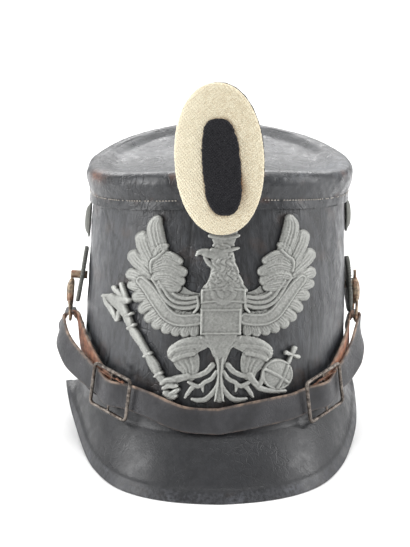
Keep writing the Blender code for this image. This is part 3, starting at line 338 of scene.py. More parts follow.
    ("prong_d", False, 1.6, 1.1, "round", ((124.5, 299.5, 2.8), (122.4, 308.5, 2.3), (120.8, 316.8, 1.7))),
    ("prong_e", False, 1.6, 1.1, "round", ((127.5, 293, 2.4), (125.0, 285, 2.1), (123.6, 279.6, 1.7))),
    ("orb", False, 1.6, 1.5, "ball", ((281.2, 375.5, 16.2),)),
    ("orb_band_a", False, 2.7, 1.0, "round", ((268.5, 370.2, 1.7), (281, 376.5, 1.9), (291.5, 383.2, 1.7))),
    ("orb_band_b", False, 2.7, 1.0, "round", ((290.8, 366.8, 1.7), (286.4, 378.2, 1.9),
     (281.2, 388.6, 1.7))),
    ("cross_stem", False, 1.8, 1.0, "round", ((292.6, 363.0, 2.0), (294.8, 357.4, 1.5),
     (298.5, 348.6, 2.5))),
    ("cross_arm", False, 1.8, 1.1, "round", ((290.2, 353.3, 2.5), (296.2, 355.2, 1.5),
     (302.0, 357.1, 2.5))),
))


def wrapped(degrees):
    return (degrees + 180) % 360 - 180


def bell(away, width):
    return np.exp(-(away / width) ** 2)


def circle(count):
    return np.arange(count) * 2 * math.pi / count


def run_lengths(points):
    """How far along a route each of its points lies."""
    return np.concatenate(([0], np.cumsum(np.linalg.norm(np.diff(points, axis=0), axis=1))))


def between(at, places, values):
    """Read the columns of a table of values between its places."""
    return np.stack([np.interp(at, places, values[:, k]) for k in range(values.shape[1])], -1)


def follow(rows, along, column, at):
    """Read a table between its rows, along a smooth curve; at may be an array."""
    places = np.array([getattr(row, along) for row in rows], dtype=float)
    values = np.array([getattr(row, column) for row in rows], dtype=float)
    slopes = np.gradient(values, places)
    at = np.clip(at, places[0], places[-1])
    index = np.clip(np.searchsorted(places, at, side="right") - 1, 0, len(places) - 2)
    step = places[index + 1] - places[index]
    t = (at - places[index]) / step
    start = (1 + 2 * t) * (1 - t) ** 2 * values[index] + t * (1 - t) ** 2 * step * slopes[index]
    return start + t * t * (3 - 2 * t) * values[index + 1] + t * t * (t - 1) * step * slopes[index + 1]


def dent_depth(angle, share):
    depth = np.zeros_like(angle)
    for dent in CROWN_DENTS:
        turn = wrapped(np.degrees(angle) - dent.angle)
        rise = np.degrees((share - dent.height) * CROWN_HEIGHT / (BASE_WIDTH / 2))
        depth += dent.depth * LEATHER * np.exp(-(turn / dent.spread) ** 2 - (rise / dent.spread) ** 2)
    return depth


def wall(angle, height, out=0.0):
    """Points on the crown's outer wall, moved straight out by a distance."""
    angle, height, out = [np.asarray(a, dtype=float) for a in np.broadcast_arrays(angle, height, out)]
    share = np.clip(height / CROWN_HEIGHT, 0.0, 1.0)
    half_width = BASE_WIDTH / 2 * follow(CROWN_ROWS, "height", "width", share)
    half_length = BASE_LENGTH / 2 * follow(CROWN_ROWS, "height", "length", share)
    sine, cosine = np.sin(angle), np.cos(angle)
    scale = (np.abs(sine) ** OVAL_POWER + np.abs(cosine) ** OVAL_POWER) ** (-1 / OVAL_POWER)
    x, y = half_width * sine * scale, -half_length * cosine * scale
    nx, ny = x / half_width ** 2, y / half_length ** 2
    size = np.hypot(nx, ny)
    move = (out - dent_depth(angle, share)) / size
    return np.stack((x + TOP_LEAN * share + nx * move, y + TOP_BACK * share + ny * move, height), -1)


def unit(vectors):
    return vectors / np.linalg.norm(vectors, axis=-1, keepdims=True)


def wall_frame(angle, height):
    step = 0.001
    round_hat = unit(wall(angle + step, height) - wall(angle - step, height))
    up_wall = unit(wall(angle, height + step) - wall(angle, height - step))
    return round_hat, up_wall, unit(np.cross(round_hat, up_wall))


def ridge_height(angle):
    return CROWN_HEIGHT - SIDE_DIP * np.sin(angle) ** 2


def tipped(points):
    """From the upright hat to the hat tipped back on its peaks, before it is moved into place."""
    c, s = math.cos(TIP_BACK), math.sin(TIP_BACK)
    points = np.asarray(points, dtype=float)
    return np.stack((points[..., 0], points[..., 1] * c + points[..., 2] * s,
                     points[..., 2] * c - points[..., 1] * s), -1)


def find_origin():
    """Where the upright hat's origin lies, from the box of the crown's node."""
    angles = circle(AROUND)
    rings = wall(angles[None], np.array(CROWN_CUTS)[:, None] * (ridge_height(angles)[None] - EDGE_DROP))
    return np.array(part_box("crown")[0]) - tipped(rings).reshape(-1, 3).min(0)


ORIGIN = find_origin()


def to_world(points):
    return tipped(points) + ORIGIN


def waves(points, size, seed, count=14):
    """Smooth seeded noise from -1 to 1 at points, with features of about the given size."""
    chance = np.random.default_rng(seed)
    total = np.zeros(points.shape[:-1])
    for _ in range(count):
        direction = unit(chance.normal(size=3))
        wave = 2 * math.pi / (size * chance.uniform(0.7, 1.5))
        total += np.cos(points @ direction * wave + chance.uniform(0, 2 * math.pi))
    return np.clip(total / math.sqrt(count) / 1.4, -1, 1)


def smooth(value, low, high):
    t = np.clip((value - low) / (high - low), 0.0, 1.0)
    return t * t * (3 - 2 * t)


def mesh_object(name, points, faces, look, marks=None, angle=40.0, place=True):
    """A mesh in world places; marks are named values for each point, read by the materials."""
    mesh = bpy.data.meshes.new(name)
    places = to_world(points) if place else points
    mesh.from_pydata(np.asarray(places).reshape(-1, 3).tolist(), [], faces)
    for key, values in (marks or {}).items():
        layer = mesh.attributes.new(key, "FLOAT", "POINT")
        layer.data.foreach_set("value", np.asarray(values, dtype=np.float32).ravel())
    mesh.materials.append(look)
    mesh.update()
    mesh.shade_smooth()
    mesh.set_sharp_from_angle(angle=math.radians(angle))
    item = bpy.data.objects.new(name, mesh)
    bpy.context.scene.collection.objects.link(item)
    return item


def grid_faces(rows, columns, close_columns=True, close_rows=False):
    faces = []
    for i in range(rows if close_rows else rows - 1):
        k = (i + 1) % rows
        for j in range(columns if close_columns else columns - 1):
            m = (j + 1) % columns
            faces.append((i * columns + j, i * columns + m, k * columns + m, k * columns + j))
    return faces


def end_faces(rows, sides):
    """The two faces that close a tube of rings."""
    return [tuple(range(sides - 1, -1, -1)), tuple((rows - 1) * sides + k for k in range(sides))]


def rings_with_poles(rings, sides, back=True):
    """Points and faces of nested rings, closed with a fan at the last and, if asked, at the first."""
    points = [np.concatenate(rings), rings[-1].mean(0)[None]]
    faces = grid_faces(len(rings), sides)
    last, top = (len(rings) - 1) * sides, len(rings) * sides
    faces += [(last + j, last + (j + 1) % sides, top) for j in range(sides)]
    if back:
        points.append(rings[0].mean(0)[None])
        faces += [((j + 1) % sides, j, top + 1) for j in range(sides)]
    return np.concatenate(points), faces


def add_piece(item, slot, *nodes):
    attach(item, "root")
    if nodes:
        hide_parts(*nodes)


# Materials


def tint(colour, factor):
    return tuple(min(c * factor, 1.0) for c in colour)


class Nodes:
    """A short way to write a node material."""

    def __init__(self, name, roughness=0.5, metallic=0.0, specular=0.5):
        self.material = bpy.data.materials.new(name)
        self.material.use_nodes = True
        self.tree = self.material.node_tree
        self.shader = self.tree.nodes["Principled BSDF"]
        self.shader.inputs["Roughness"].default_value = roughness
        self.shader.inputs["Metallic"].default_value = metallic
        self.shader.inputs["Specular IOR Level"].default_value = specular
        self.coords = self.add("TexCoord", {}, "Object")

    def put(self, socket, value):
        if isinstance(value, bpy.types.NodeSocket):
            self.tree.links.new(value, socket)
        elif isinstance(value, tuple) and len(value) == 3 and socket.type == "RGBA":
            socket.default_value = (*value, 1.0)
        else:
            socket.default_value = value

    def add(self, kind, inputs, output, **settings):
        """Add a node with its settings and inputs, and give one of its outputs."""
        node = self.tree.nodes.new("ShaderNode" + kind)
        for key, value in settings.items():
            setattr(node, key, value)
        for key, value in inputs.items():
            self.put(node.inputs[key], value)
        return node.outputs[output]

    def mapping(self, scale, turn=(0, 0, 0)):
        return self.add("Mapping", {"Vector": self.coords, "Scale": scale, "Rotation": turn}, "Vector")

    def noise(self, scale, detail=4.0, rough=0.55, vector=None, twist=0.0, output="Fac"):
        return self.add("TexNoise", {"Vector": vector or self.coords, "Scale": scale, "Detail": detail,
                                     "Roughness": rough, "Distortion": twist}, output)

    def cracks(self, scale, vector=None):
        return self.add("TexVoronoi", {"Vector": vector or self.coords, "Scale": scale}, "Distance",
                        feature="DISTANCE_TO_EDGE")

    def ramp(self, value, low, high, to_low=0.0, to_high=1.0):
        return self.add("MapRange", {"Value": value, "From Min": low, "From Max": high, "To Min": to_low,
                                     "To Max": to_high}, "Result", interpolation_type="SMOOTHSTEP")

    def math(self, kind, a, b):
        return self.add("Math", {0: a, 1: b}, 0, operation=kind)

    def times(self, a, b):
        return self.math("MULTIPLY", a, b)

    def plus(self, a, b):
        return self.math("ADD", a, b)

    def minus(self, a, b):
        return self.math("SUBTRACT", a, b)

    def mix(self, factor, a, b):
        return self.add("Mix", {0: factor, 6: a, 7: b}, 2, data_type="RGBA")

    def mark(self, name):
        return self.add("Attribute", {}, "Fac", attribute_name=name)

    def bump(self, height, distance, strength):
        return self.add("Bump", {"Strength": strength, "Distance": distance, "Height": height}, "Normal")

    def finish(self, colour, roughness=None, normal=None):
        for key, value in (("Base Color", colour), ("Roughness", roughness), ("Normal", normal)):
            if value is not None:
                self.put(self.shader.inputs[key], value)
        return self.material


def leather(name, dark, light, worn, streaks=1.0, crackle=1.0, gloss=0.44):
    """Worn leather: blotches, fine upright streaks, crackle, and marks for wear, for scuffs with painted
    sheen, and for dirt with painted shade.
    """
    n = Nodes(name, gloss)
    blotch = n.ramp(n.noise(28.0, 6.0, 0.6), 0.3, 0.72)
    streak = n.noise(1.0, 8.0, 0.68, n.mapping((420.0, 420.0, 26.0)), 0.6)
    fine = n.noise(900.0, 3.0, 0.6)
    shake = n.add("VectorMath", {0: n.noise(90.0, 2.0, 0.5, output="Color"), "Scale": 0.006}, 0,
                  operation="SCALE")
    bent = n.add("VectorMath", {0: n.mapping((1.0, 1.0, 0.55)), 1: shake}, 0, operation="ADD")
    crack = n.ramp(n.cracks(260.0, bent), 0.0, 0.10, 1.0, 0.0)
    crack = n.times(n.times(crack, n.ramp(n.noise(35.0, 3.0), 0.42, 0.66)), crackle)
    tone = n.plus(n.times(blotch, 0.45), n.times(n.ramp(streak, 0.38, 0.66), 0.95 * streaks))
    colour = n.mix(n.times(tone, 0.8), dark, light)
    colour = n.mix(n.times(crack, 0.55), colour, tint(dark, 0.35))
    # This lightening is real scuffs, and on the crown's flanks a painted sheen.
    scuff = n.times(n.mark("scuff"), n.ramp(n.noise(420.0, 5.0, 0.7), 0.38, 0.62))
    colour = n.mix(scuff, colour, tint(light, 3.4))
    colour = n.mix(n.times(n.mark("wear"), n.ramp(n.noise(260.0, 5.0, 0.7), 0.3, 0.6)), colour, worn)
    # This darkening is dirt, and painted shade in creases and under the cap's band.
    colour = n.mix(n.mark("soil"), colour, tint(dark, 0.22))
    rough = n.plus(n.ramp(n.noise(160.0, 5.0), 0.3, 0.7, gloss - 0.06, gloss + 0.12), n.times(scuff, 0.25))
    height = n.minus(n.plus(n.times(streak, 0.9 * streaks), n.times(fine, 0.45)), n.times(crack, 0.9))
    return n.finish(colour, rough, n.bump(height, 0.00035, 0.75))


def cast_metal(name, dark, light, gloss=0.42, metallic=0.55):
    """Grey cast metal, darker in its hollows, rubbed on its high places."""
    n = Nodes(name, gloss, metallic)
    grit = n.noise(700.0, 4.0, 0.65)
    colour = n.mix(n.ramp(n.noise(70.0, 5.0), 0.3, 0.7), tint(light, 0.86), light)
    colour = n.mix(n.ramp(grit, 0.34, 0.66, 0.55, 0.0), colour, tint(light, 0.45))
    colour = n.mix(n.mark("hollow"), colour, dark)
    colour = n.mix(n.mark("ridge"), colour, tint(light, 1.35))
    rough = n.minus(n.ramp(grit, 0.3, 0.7, gloss - 0.03, gloss + 0.12), n.times(n.mark("ridge"), 0.1))
    return n.finish(colour, rough, n.bump(grit, 0.0005, 0.8))


def old_metal(name, dark, light, rust, gloss=0.38, metallic=0.85):
    """Dark wire or brass, patchy, with brighter worn places."""
    n = Nodes(name, gloss, metallic)
    colour = n.mix(n.ramp(n.noise(380.0, 6.0, 0.65), 0.36, 0.62), dark, light)
    colour = n.mix(n.times(n.ramp(n.noise(160.0, 5.0, 0.7), 0.48, 0.66), 0.6), colour, rust)
    rough = n.ramp(n.noise(520.0, 4.0), 0.3, 0.7, gloss - 0.08, gloss + 0.2)
    return n.finish(colour, rough, n.bump(n.noise(900.0, 4.0), 0.00015, 0.8))


def strap_look(name):
    """Strap leather: grain side dark, flesh side rust brown, edges tan."""
    n = Nodes(name, 0.45)
    fine = n.noise(700.0, 4.0, 0.6)
    grain = n.mix(n.ramp(n.noise(60.0, 6.0, 0.6), 0.3, 0.7), (0.012, 0.012, 0.014), (0.040, 0.040, 0.045))
    flesh = n.mix(n.ramp(n.noise(150.0, 6.0, 0.7), 0.3, 0.7), (0.085, 0.030, 0.016), (0.36, 0.155, 0.085))
    edge = n.mix(n.ramp(n.noise(220.0, 5.0), 0.3, 0.7), (0.050, 0.036, 0.030), (0.32, 0.225, 0.165))
    colour = n.mix(n.mark("edge"), n.mix(n.mark("flesh"), grain, flesh), edge)
    crack = n.times(n.ramp(n.cracks(420.0), 0.0, 0.09, 1.0, 0.0), n.ramp(n.noise(60.0, 3.0), 0.45, 0.7))
    colour = n.mix(n.times(crack, 0.5), colour, (0.015, 0.013, 0.013))
    rough = n.plus(n.ramp(fine, 0.3, 0.7, 0.40, 0.55), n.times(n.mark("flesh"), 0.25))
    return n.finish(colour, rough, n.bump(n.minus(fine, n.times(crack, 0.8)), 0.0003, 0.7))


def cloth(name, dark, light, weave, sheen=0.3, depth=0.0004):
    """Woven or corded cloth with a fine diagonal thread."""
    n = Nodes(name, 0.92, 0.0, 0.15)
    n.shader.inputs["Sheen Weight"].default_value = sheen
    n.shader.inputs["Sheen Roughness"].default_value = 0.4
    threads = []
    for lean in (38, -52):
        slant = n.mapping((1.0, 0.2, 1.0), (0.0, math.radians(lean), 0.0))
        threads.append(n.add("TexWave", {"Vector": slant, "Scale": weave, "Distortion": 2.2, "Detail": 3.0,
                                         "Detail Scale": 1.5}, "Fac"))
    threads = n.times(*threads)
    fuzz = n.noise(620.0, 4.0, 0.7)
    lit = n.plus(n.times(threads, 0.50), n.ramp(fuzz, 0.28, 0.66, 0.25, 0.85))
    colour = n.mix(n.math("MINIMUM", lit, 1.0), dark, light)
    colour = n.mix(n.times(n.ramp(n.noise(130.0, 6.0, 0.65), 0.42, 0.78), 0.30), colour, dark)
    # pale lightens the cloth: a painted highlight.
    colour = n.mix(n.times(n.mark("pale"), 0.55), colour, tint(light, 1.05))
    colour = n.mix(n.mark("stain"), colour, tuple(c * k for c, k in zip(dark, (0.42, 0.30, 0.25))))
    return n.finish(colour, None, n.bump(n.plus(threads, n.times(fuzz, 0.8)), depth, 0.8))


BLACK_LEATHER = leather("body_leather", (0.010, 0.0105, 0.012), (0.046, 0.049, 0.055), (0.075, 0.042, 0.028),
                        1.0, 1.0, 0.34)
CAP_LOOK = leather("cap_leather", (0.013, 0.014, 0.016), (0.052, 0.055, 0.061), (0.16, 0.065, 0.035),
                   0.5, 0.8, 0.30)
PEAK_LOOK = leather("peak_leather", (0.010, 0.0105, 0.012), (0.026, 0.027, 0.031), (0.10, 0.07, 0.05),
                    0.25, 0.35, 0.34)
STRAP_LOOK = strap_look("strap_leather")
GREY_METAL = cast_metal("grey_metal", (0.030, 0.031, 0.028), (0.35, 0.355, 0.335))
DISC_METAL = cast_metal("disc_metal", (0.045, 0.045, 0.040), (0.20, 0.205, 0.185), 0.5, 0.4)
WIRE = old_metal("dark_wire", (0.050, 0.043, 0.038), (0.24, 0.21, 0.185), (0.085, 0.055, 0.040))
BRASS = old_metal("worn_brass", (0.11, 0.085, 0.065), (0.40, 0.31, 0.22), (0.26, 0.10, 0.055), 0.45, 0.6)
CREAM = cloth("cream_cloth", (0.53, 0.42, 0.27), (0.81, 0.745, 0.57), 210.0, 0.3, 0.0006)
BLACK_CLOTH = cloth("black_cloth", (0.006, 0.006, 0.008), (0.026, 0.026, 0.029), 230.0, 0.08, 0.0006)
BOARD = cloth("dark_board", (0.012, 0.012, 0.015), (0.04, 0.038, 0.042), 400.0, 0.1, 0.0002)
THREAD = cloth("thread", (0.20, 0.18, 0.16), (0.50, 0.46, 0.41), 900.0, 0.2, 0.0001)


# Crown and cap

FINE_FRONT = 0.30           # the columns crowd towards the front by this share
MIDDLE_RADIUS_MM = 82.0     # turns degrees on the wall into widths


def columns_round(count):
    even = circle(count)
    return even - FINE_FRONT * np.sin(even)


def seam_marks(angle, height):
    """Seams, creases and cracks of the old leather, as depth in metres and a darkening: dirt in the seams,
    painted shade in the creases.
    """
    turn = wrapped(np.degrees(angle))
    lift = height * 1000
    depth = np.zeros_like(turn)
    soil = np.zeros_like(turn)
    lines = (
        # turn at the foot, turn at the top, from mm, to mm, width mm, depth mm
        (-15.5, -15.0, 30, 130, 0.9, 0.45),
        (-48.0, -66.0, 96, 124, 0.9, 0.35),
        (-56.0, -50.0, 22, 38, 0.8, 0.45),
        (-64.0, -60.0, 20, 34, 0.8, 0.40),
        (-36.0, -44.0, 24, 33, 0.8, 0.40),
        (42.0, 41.0, 16, 70, 0.7, 0.25),
        (62.0, 60.0, 45, 110, 0.8, 0.20),
        (178.0, 181.0, 0, 130, 1.2, 0.60),
    )
    for foot, top, low, high, width, deep in lines:
        along = (lift - low) / (high - low)
        place = foot + (top - foot) * along + 1.2 * np.sin(along * 5.0 + foot)
        away = np.abs(wrapped(turn - place)) * math.radians(1) * MIDDLE_RADIUS_MM
        inside = smooth(lift, low - 2, low + 2) * (1 - smooth(lift, high - 2, high + 2))
        line = bell(away, width) * inside
        depth += deep * 0.001 * line
        # Darker along each line: dirt in the seams, painted shade in the creases.
        soil = np.maximum(soil, line * 0.75)
    return depth, soil


def make_crown():
    angles = columns_round(COLUMNS)
    ridge = ridge_height(angles)[None] - EDGE_DROP
    height = np.linspace(0.0, 1.0, CROWN_ROUNDS)[:, None] * ridge
    angle = np.broadcast_to(angles[None], height.shape)
    spots = wall(angle, height)
    depth, soil = seam_marks(angle, height)
    ripple = 0.00022 * (1 + waves(spots * (1, 1, 0.35), 0.011, 5)) + 0.00010 * (1 + waves(spots, 0.004, 6))
    inner_height = np.linspace(1.0, 0.0, INNER_ROUNDS)[:, None] * ridge
    points = np.concatenate((wall(angle, height, -depth - ripple),
                             wall(angle[:INNER_ROUNDS], inner_height, -LEATHER - INNER_SINK)))
    turn = wrapped(np.degrees(angle))
    patch = bell(turn + 9, 5.0) * bell(height * 1000 - 98, 7.0)     # rubbed, left of the plate's top
    # The flanks are painted lighter here, a painted sheen; the patch is a rubbed place.
    scuff = 0.20 * smooth(np.abs(turn), 38, 80) * (np.abs(turn) < 150) + 0.35 * patch
    # The crown is darker towards the bottom, in patches.
    low_darkening = 0.30 * (1 - smooth(height, 0.004, 0.034)) * smooth(waves(spots, 0.03, 9), -0.3, 0.8)
    wear = 0.25 * smooth(waves(spots, 0.02, 12), 0.5, 1.0)
    inside = np.zeros((INNER_ROUNDS, COLUMNS))
    marks = {"soil": np.concatenate((np.clip(soil + low_darkening, 0, 1), inside)),
             "scuff": np.concatenate((np.clip(scuff, 0, 1), inside)),
             "wear": np.concatenate((wear, inside + 0.5))}
    faces = grid_faces(len(points), COLUMNS, True, True)
    add_piece(mesh_object("crown_leather", points, faces, BLACK_LEATHER, marks), "black_leather", "crown")


def curve_through(points, steps):
    """Catmull-Rom points through flat (out, down) pairs."""
    points = np.asarray(points, dtype=float)
    made = []
    for i in range(len(points) - 1):
        a, b, c, d = points[max(i - 1, 0)], points[i], points[i + 1], points[min(i + 2, len(points) - 1)]
        for k in range(steps):
            t = k / steps
            made.append(0.5 * (2 * b + (c - a) * t + (2 * a - 5 * b + 4 * c - d) * t * t
                               + (3 * b - a - 3 * c + d) * t ** 3))
    made.append(points[-1])
    return np.array(made)


def make_cap():
    angles = columns_round(COLUMNS)
    outer = curve_through([(row.out * SHOULDER_OUT, -row.down * BAND_DEPTH) for row in CAP_ROWS], CAP_STEPS)
    out, down = outer[0]
    edge = [(out - CAP_LEATHER, down + 0.004), (out - CAP_LEATHER, down), (out - 0.0010, down - 0.0001),
            (out - 0.0004, down - 0.0002)]
    section = np.array(edge + list(outer))
    rings = np.array([wall(angles, ridge_height(angles) + down, out) for out, down in section])
    last = rings[-1]
    middle = last.mean(0)
    lid = [middle + (last - middle) * share + (0, 0, LID_RISE * (1 - share)) for share in LID_SHARES]
    rings = np.concatenate((rings, lid))
    turn = wrapped(np.degrees(np.broadcast_to(angles[None], rings.shape[:2])))
    index = np.broadcast_to(np.arange(len(rings))[:, None], rings.shape[:2])
    band = bell(index - STITCH_RING, 1.3)
    bumps = 0.00030 * waves(rings, 0.013, 21) + 0.00016 * waves(rings, 0.005, 22)
    fold = 0.0006 * waves(rings * (1.0, 1.0, 0.4), 0.030, 23)
    outward = unit((rings - rings.mean(1, keepdims=True)) * (1, 1, 0) + 1e-9)
    flat = (index > len(section) - LID_RINGS).astype(float)
    lift = (bumps + fold) * (index >= EDGE_RINGS)
    moved = rings + outward * ((np.minimum(lift, 0.0003) - 0.00035 * band) * (1 - flat))[..., None]
    moved[..., 2] += lift * flat * 0.30
    points, faces = rings_with_poles(moved, COLUMNS, False)
    corner = bell(index - CORNER_RING, 5.0)
    wear = 0.9 * bell(turn + 66, 7.0) * bell(index - SHOULDER_RING, 5.0)
    wear += 0.35 * smooth(waves(rings, 0.016, 31), 0.55, 1.0) * corner
    wear += 0.45 * band * smooth(waves(rings, 0.010, 33), 0.2, 0.9)
    scuff = 0.75 * bell(turn - 72, 26.0) * smooth(index, SHOULDER_RING, 34) * (1 - smooth(index, 46, 54))
    scuff += 0.30 * corner * smooth(waves(rings, 0.02, 35), -0.1, 0.9)
    scuff += 0.22 * smooth(index, 36, 44) * smooth(waves(rings * (1, 3, 1), 0.02, 37), 0.0, 1.0)
    # Darker along the stitched band: dirt, and painted shade in its groove.
    soil = 0.55 * band * smooth(waves(rings, 0.006, 39), -0.2, 0.6)
    # The cap's edge under the band is darker: painted shade.
    soil = np.maximum(soil, 0.5 * (index <= EDGE_RINGS))
    marks = {key: np.append(np.clip(value, 0, 1).ravel(), 0.0)
             for key, value in (("wear", wear), ("scuff", scuff), ("soil", soil))}
    add_piece(mesh_object("cap_leather", points, faces, CAP_LOOK, marks, 60.0), "black_leather", "top_cap")


def capsule(length, radius, sides=6):
    """A small bead along X: points and faces."""
    rows = []
    for x, r in ((-0.5, 0.05), (-0.44, 0.62), (-0.2, 1.0), (0.2, 1.0), (0.44, 0.62), (0.5, 0.05)):
        for k in range(sides):
            turn = 2 * math.pi * k / sides
            rows.append((x * length, math.cos(turn) * radius * r, math.sin(turn) * radius * r))
    return np.array(rows), grid_faces(6, sides)


def make_stitches():
    """The thread that sews the cap's band to the crown."""
    bead, bead_faces = capsule(STITCH_LENGTH, STITCH_RADIUS)
    angles = np.linspace(0, 2 * math.pi, 4000, endpoint=False)
    run = run_lengths(wall(angles, ridge_height(angles) - STITCH_DOWN, STITCH_OUT))
    chance = np.random.default_rng(44)
    points, faces = [], []
    for place in np.arange(0, run[-1] - STITCH_PITCH, STITCH_PITCH):
        if chance.random() < STITCH_SKIPPED:
            continue
        angle = float(np.interp(place, run, angles))
        height = float(ridge_height(angle)) - STITCH_DOWN
        spot = wall(angle, height, STITCH_OUT - 0.00018)
        along, up, outward = wall_frame(angle, height)
        lean = chance.normal(0, 0.10)
        along, up = along * math.cos(lean) + up * math.sin(lean), up * math.cos(lean) - along * math.sin(lean)
        start = len(points) * len(bead)
        points.append(spot + bead @ np.array((along, up, outward)))
        faces += [tuple(start + v for v in face) for face in bead_faces]
    add_piece(mesh_object("band_stitches", np.concatenate(points), faces, THREAD), "black_leather")


# Peaks


def floor_height(y):
    front_edge = wall(0.0, 0.0)[1] - FRONT_REACH
    return -FRONT_DROP + (y - front_edge) * math.tan(TIP_BACK)


def wall_under(angle, height):
    spot = wall(angle, max(height, 0.0))
    spot[2] = height
    return spot


def peak_section(angle, reach, rise):
    """The same cut as in the part's source, with many more points and a softer rim."""
    base = wall(angle, 0.0)
    out_at = wall(angle, 0.0, 1.0) - base

    def foot(out):
        return floor_height((base + out_at * out)[1]) * (1 - rise)

    side = PEAK_GAP + PEAK_LEATHER
    run = max(reach - side, GAP)
    edge = foot(side + run)
    top = np.array((side, -PEAK_SEAT))
    bend = np.array((side + run * PEAK_BEND_OUT, top[1] + (edge - top[1]) * PEAK_BEND_DOWN))
    tip = np.array((side + run, edge))
    t = np.linspace(0, 1, 41)[:, None]
    face = top * (1 - t) ** 2 + bend * 2 * (1 - t) * t + tip * t * t
    lengths = run_lengths(face)
    rim = lengths[-1] - min(RIM_WIDTH, lengths[-1] * 0.4)

    def off(length, depth):
        before, after = [between(length + reach, lengths, face) for reach in (-SLOPE_REACH, SLOPE_REACH)]
        along = (after - before) / max(math.dist(after, before), 1e-9)
        return between(length, lengths, face) + np.array((along[1], -along[0])) * depth

    outer, where = [np.array((side, FLANGE_HEIGHT)), np.array((side, FLANGE_HEIGHT * 0.4))], [0.0, 0.0]
    stops = np.concatenate((np.linspace(0, rim - 0.0015, 16), np.linspace(rim - 0.0009, rim + 0.0012, 5),
                            np.linspace(rim + 0.0022, lengths[-1] - 0.0009, 8)))
    for stop in stops:
        beyond = stop - rim
        raised = RIM_RAISE * float(smooth(beyond, -0.0030, 0.0030))
        raised += 0.00012 * bell(beyond - 0.0008, 0.0012)
        outer.append(off(stop, -raised))
        where.append(float(smooth(beyond, 0.0, 0.003)))
    for raised, lift in ((RIM_RAISE, 0.0006), (RIM_RAISE * 0.2, 0.0)):
        outer.append(np.array((tip[0] + raised, foot(tip[0] + raised) + lift)))
    where += [1.0, 1.0]
    inner = [off(stop, PEAK_LEATHER) for stop in stops[1:][::-1]]
    heel = tip[0] - PEAK_LEATHER * 0.8
    inner = [np.array((heel, foot(heel)))] + inner[2:]
    inner += [np.array((PEAK_GAP, -PEAK_SEAT)), np.array((PEAK_GAP, FLANGE_HEIGHT))]
    where += [0.6] * len(inner)
    spots = [wall_under(angle, spot[1]) + out_at * spot[0] for spot in outer + inner]
    return np.array(spots), np.array(where)


def make_peak(name, node, rows, full_reach, centre, columns):
    limit = rows[-1].angle
    rings, rims = [], []
    for turn in np.linspace(-limit, limit, columns):
        side = abs(float(turn))
        angle = math.radians(centre + float(turn))
        right = turn > 0 if centre == 0 else turn < 0
        reach = full_reach * float(follow(rows, "angle", "reach_right" if right else "reach_left", side))
        rise = max(float(follow(rows, "angle", "rise", side)), 0.0)
        spots, where = peak_section(angle, reach, rise)
        rings.append(spots)
        rims.append(where)
    rings, rims = np.array(rings), np.array(rims)
    count = rings.shape[1]
    outward = unit(rings - rings.mean(1, keepdims=True))
    free = np.ones(count)
    free[:3] = free[31:33] = 0.0        # the flange and the edge that the hat stands on stay smooth
    lift = (0.00022 * waves(rings, 0.022, 51) + 0.00008 * waves(rings, 0.006, 52)) * free
    points = rings - outward * np.abs(lift)[..., None] * 0.8
    wear = 0.10 * rims * smooth(waves(rings, 0.012, 53), 0.2, 1.0)
    scuff = rims * (0.30 + 0.40 * smooth(waves(rings, 0.015, 54), 0.1, 0.9)) + 0.05
    faces = grid_faces(columns, count) + end_faces(columns, count)
    marks = {"wear": wear, "scuff": scuff, "soil": np.zeros_like(wear)}
    add_piece(mesh_object(name, points, faces, PEAK_LOOK, marks, 50.0), "peak_leather", node)


# Strap, buckles and side fittings


def strap_station(row, sign):
    turn = math.radians(row.angle) * sign
    height = (row.rise_right if sign > 0 else row.rise_left) * STRAP_RISE
    out = (row.out_right if sign > 0 else row.out_left) * STRAP_OUT
    round_hat, up_wall, outward = wall_frame(turn, max(height, 0.002))
    roll = math.radians(row.turn)
    width = up_wall * math.cos(roll) - round_hat * (math.sin(roll) * sign)
    flare = math.radians(row.flare)
    width = width * math.cos(flare) - outward * math.sin(flare)
    return wall(turn, height, out), unit(width), outward


def strap_half(sign):
    middles, widths = [], []
    for row in STRAP_ROWS:
        middle, width, _ = strap_station(row, sign)
        middles.append(middle)
        widths.append(width)
    back = [strap_station(row, sign)[:2] for row in STRAP_RETURN_ROWS]
    bar = (middles[-1] + back[0][0]) / 2
    outward = (middles[-1] - back[0][0]) / 2
    up = np.array((0, 0, np.linalg.norm(outward)))
    for turn in (45, 90, 135):
        lean = math.radians(turn)
        middles.append(bar + outward * math.cos(lean) + up * math.sin(lean))
        widths.append(widths[-1])
    for middle, width in back:
        middles.append(middle)
        widths.append(width)
    return np.array(middles), np.array(widths)


def even_curve(points, spacing):
    """Smooth points with even spacing along a route, and each one's place as a share of the given ones."""
    fine = curve_through(points, 12)
    run = run_lengths(fine)
    count = int(run[-1] / spacing) + 2
    stops = np.linspace(0, run[-1], count)
    share = np.linspace(0, len(points) - 1, len(fine))
    return between(stops, run, fine), np.interp(stops, run, share)


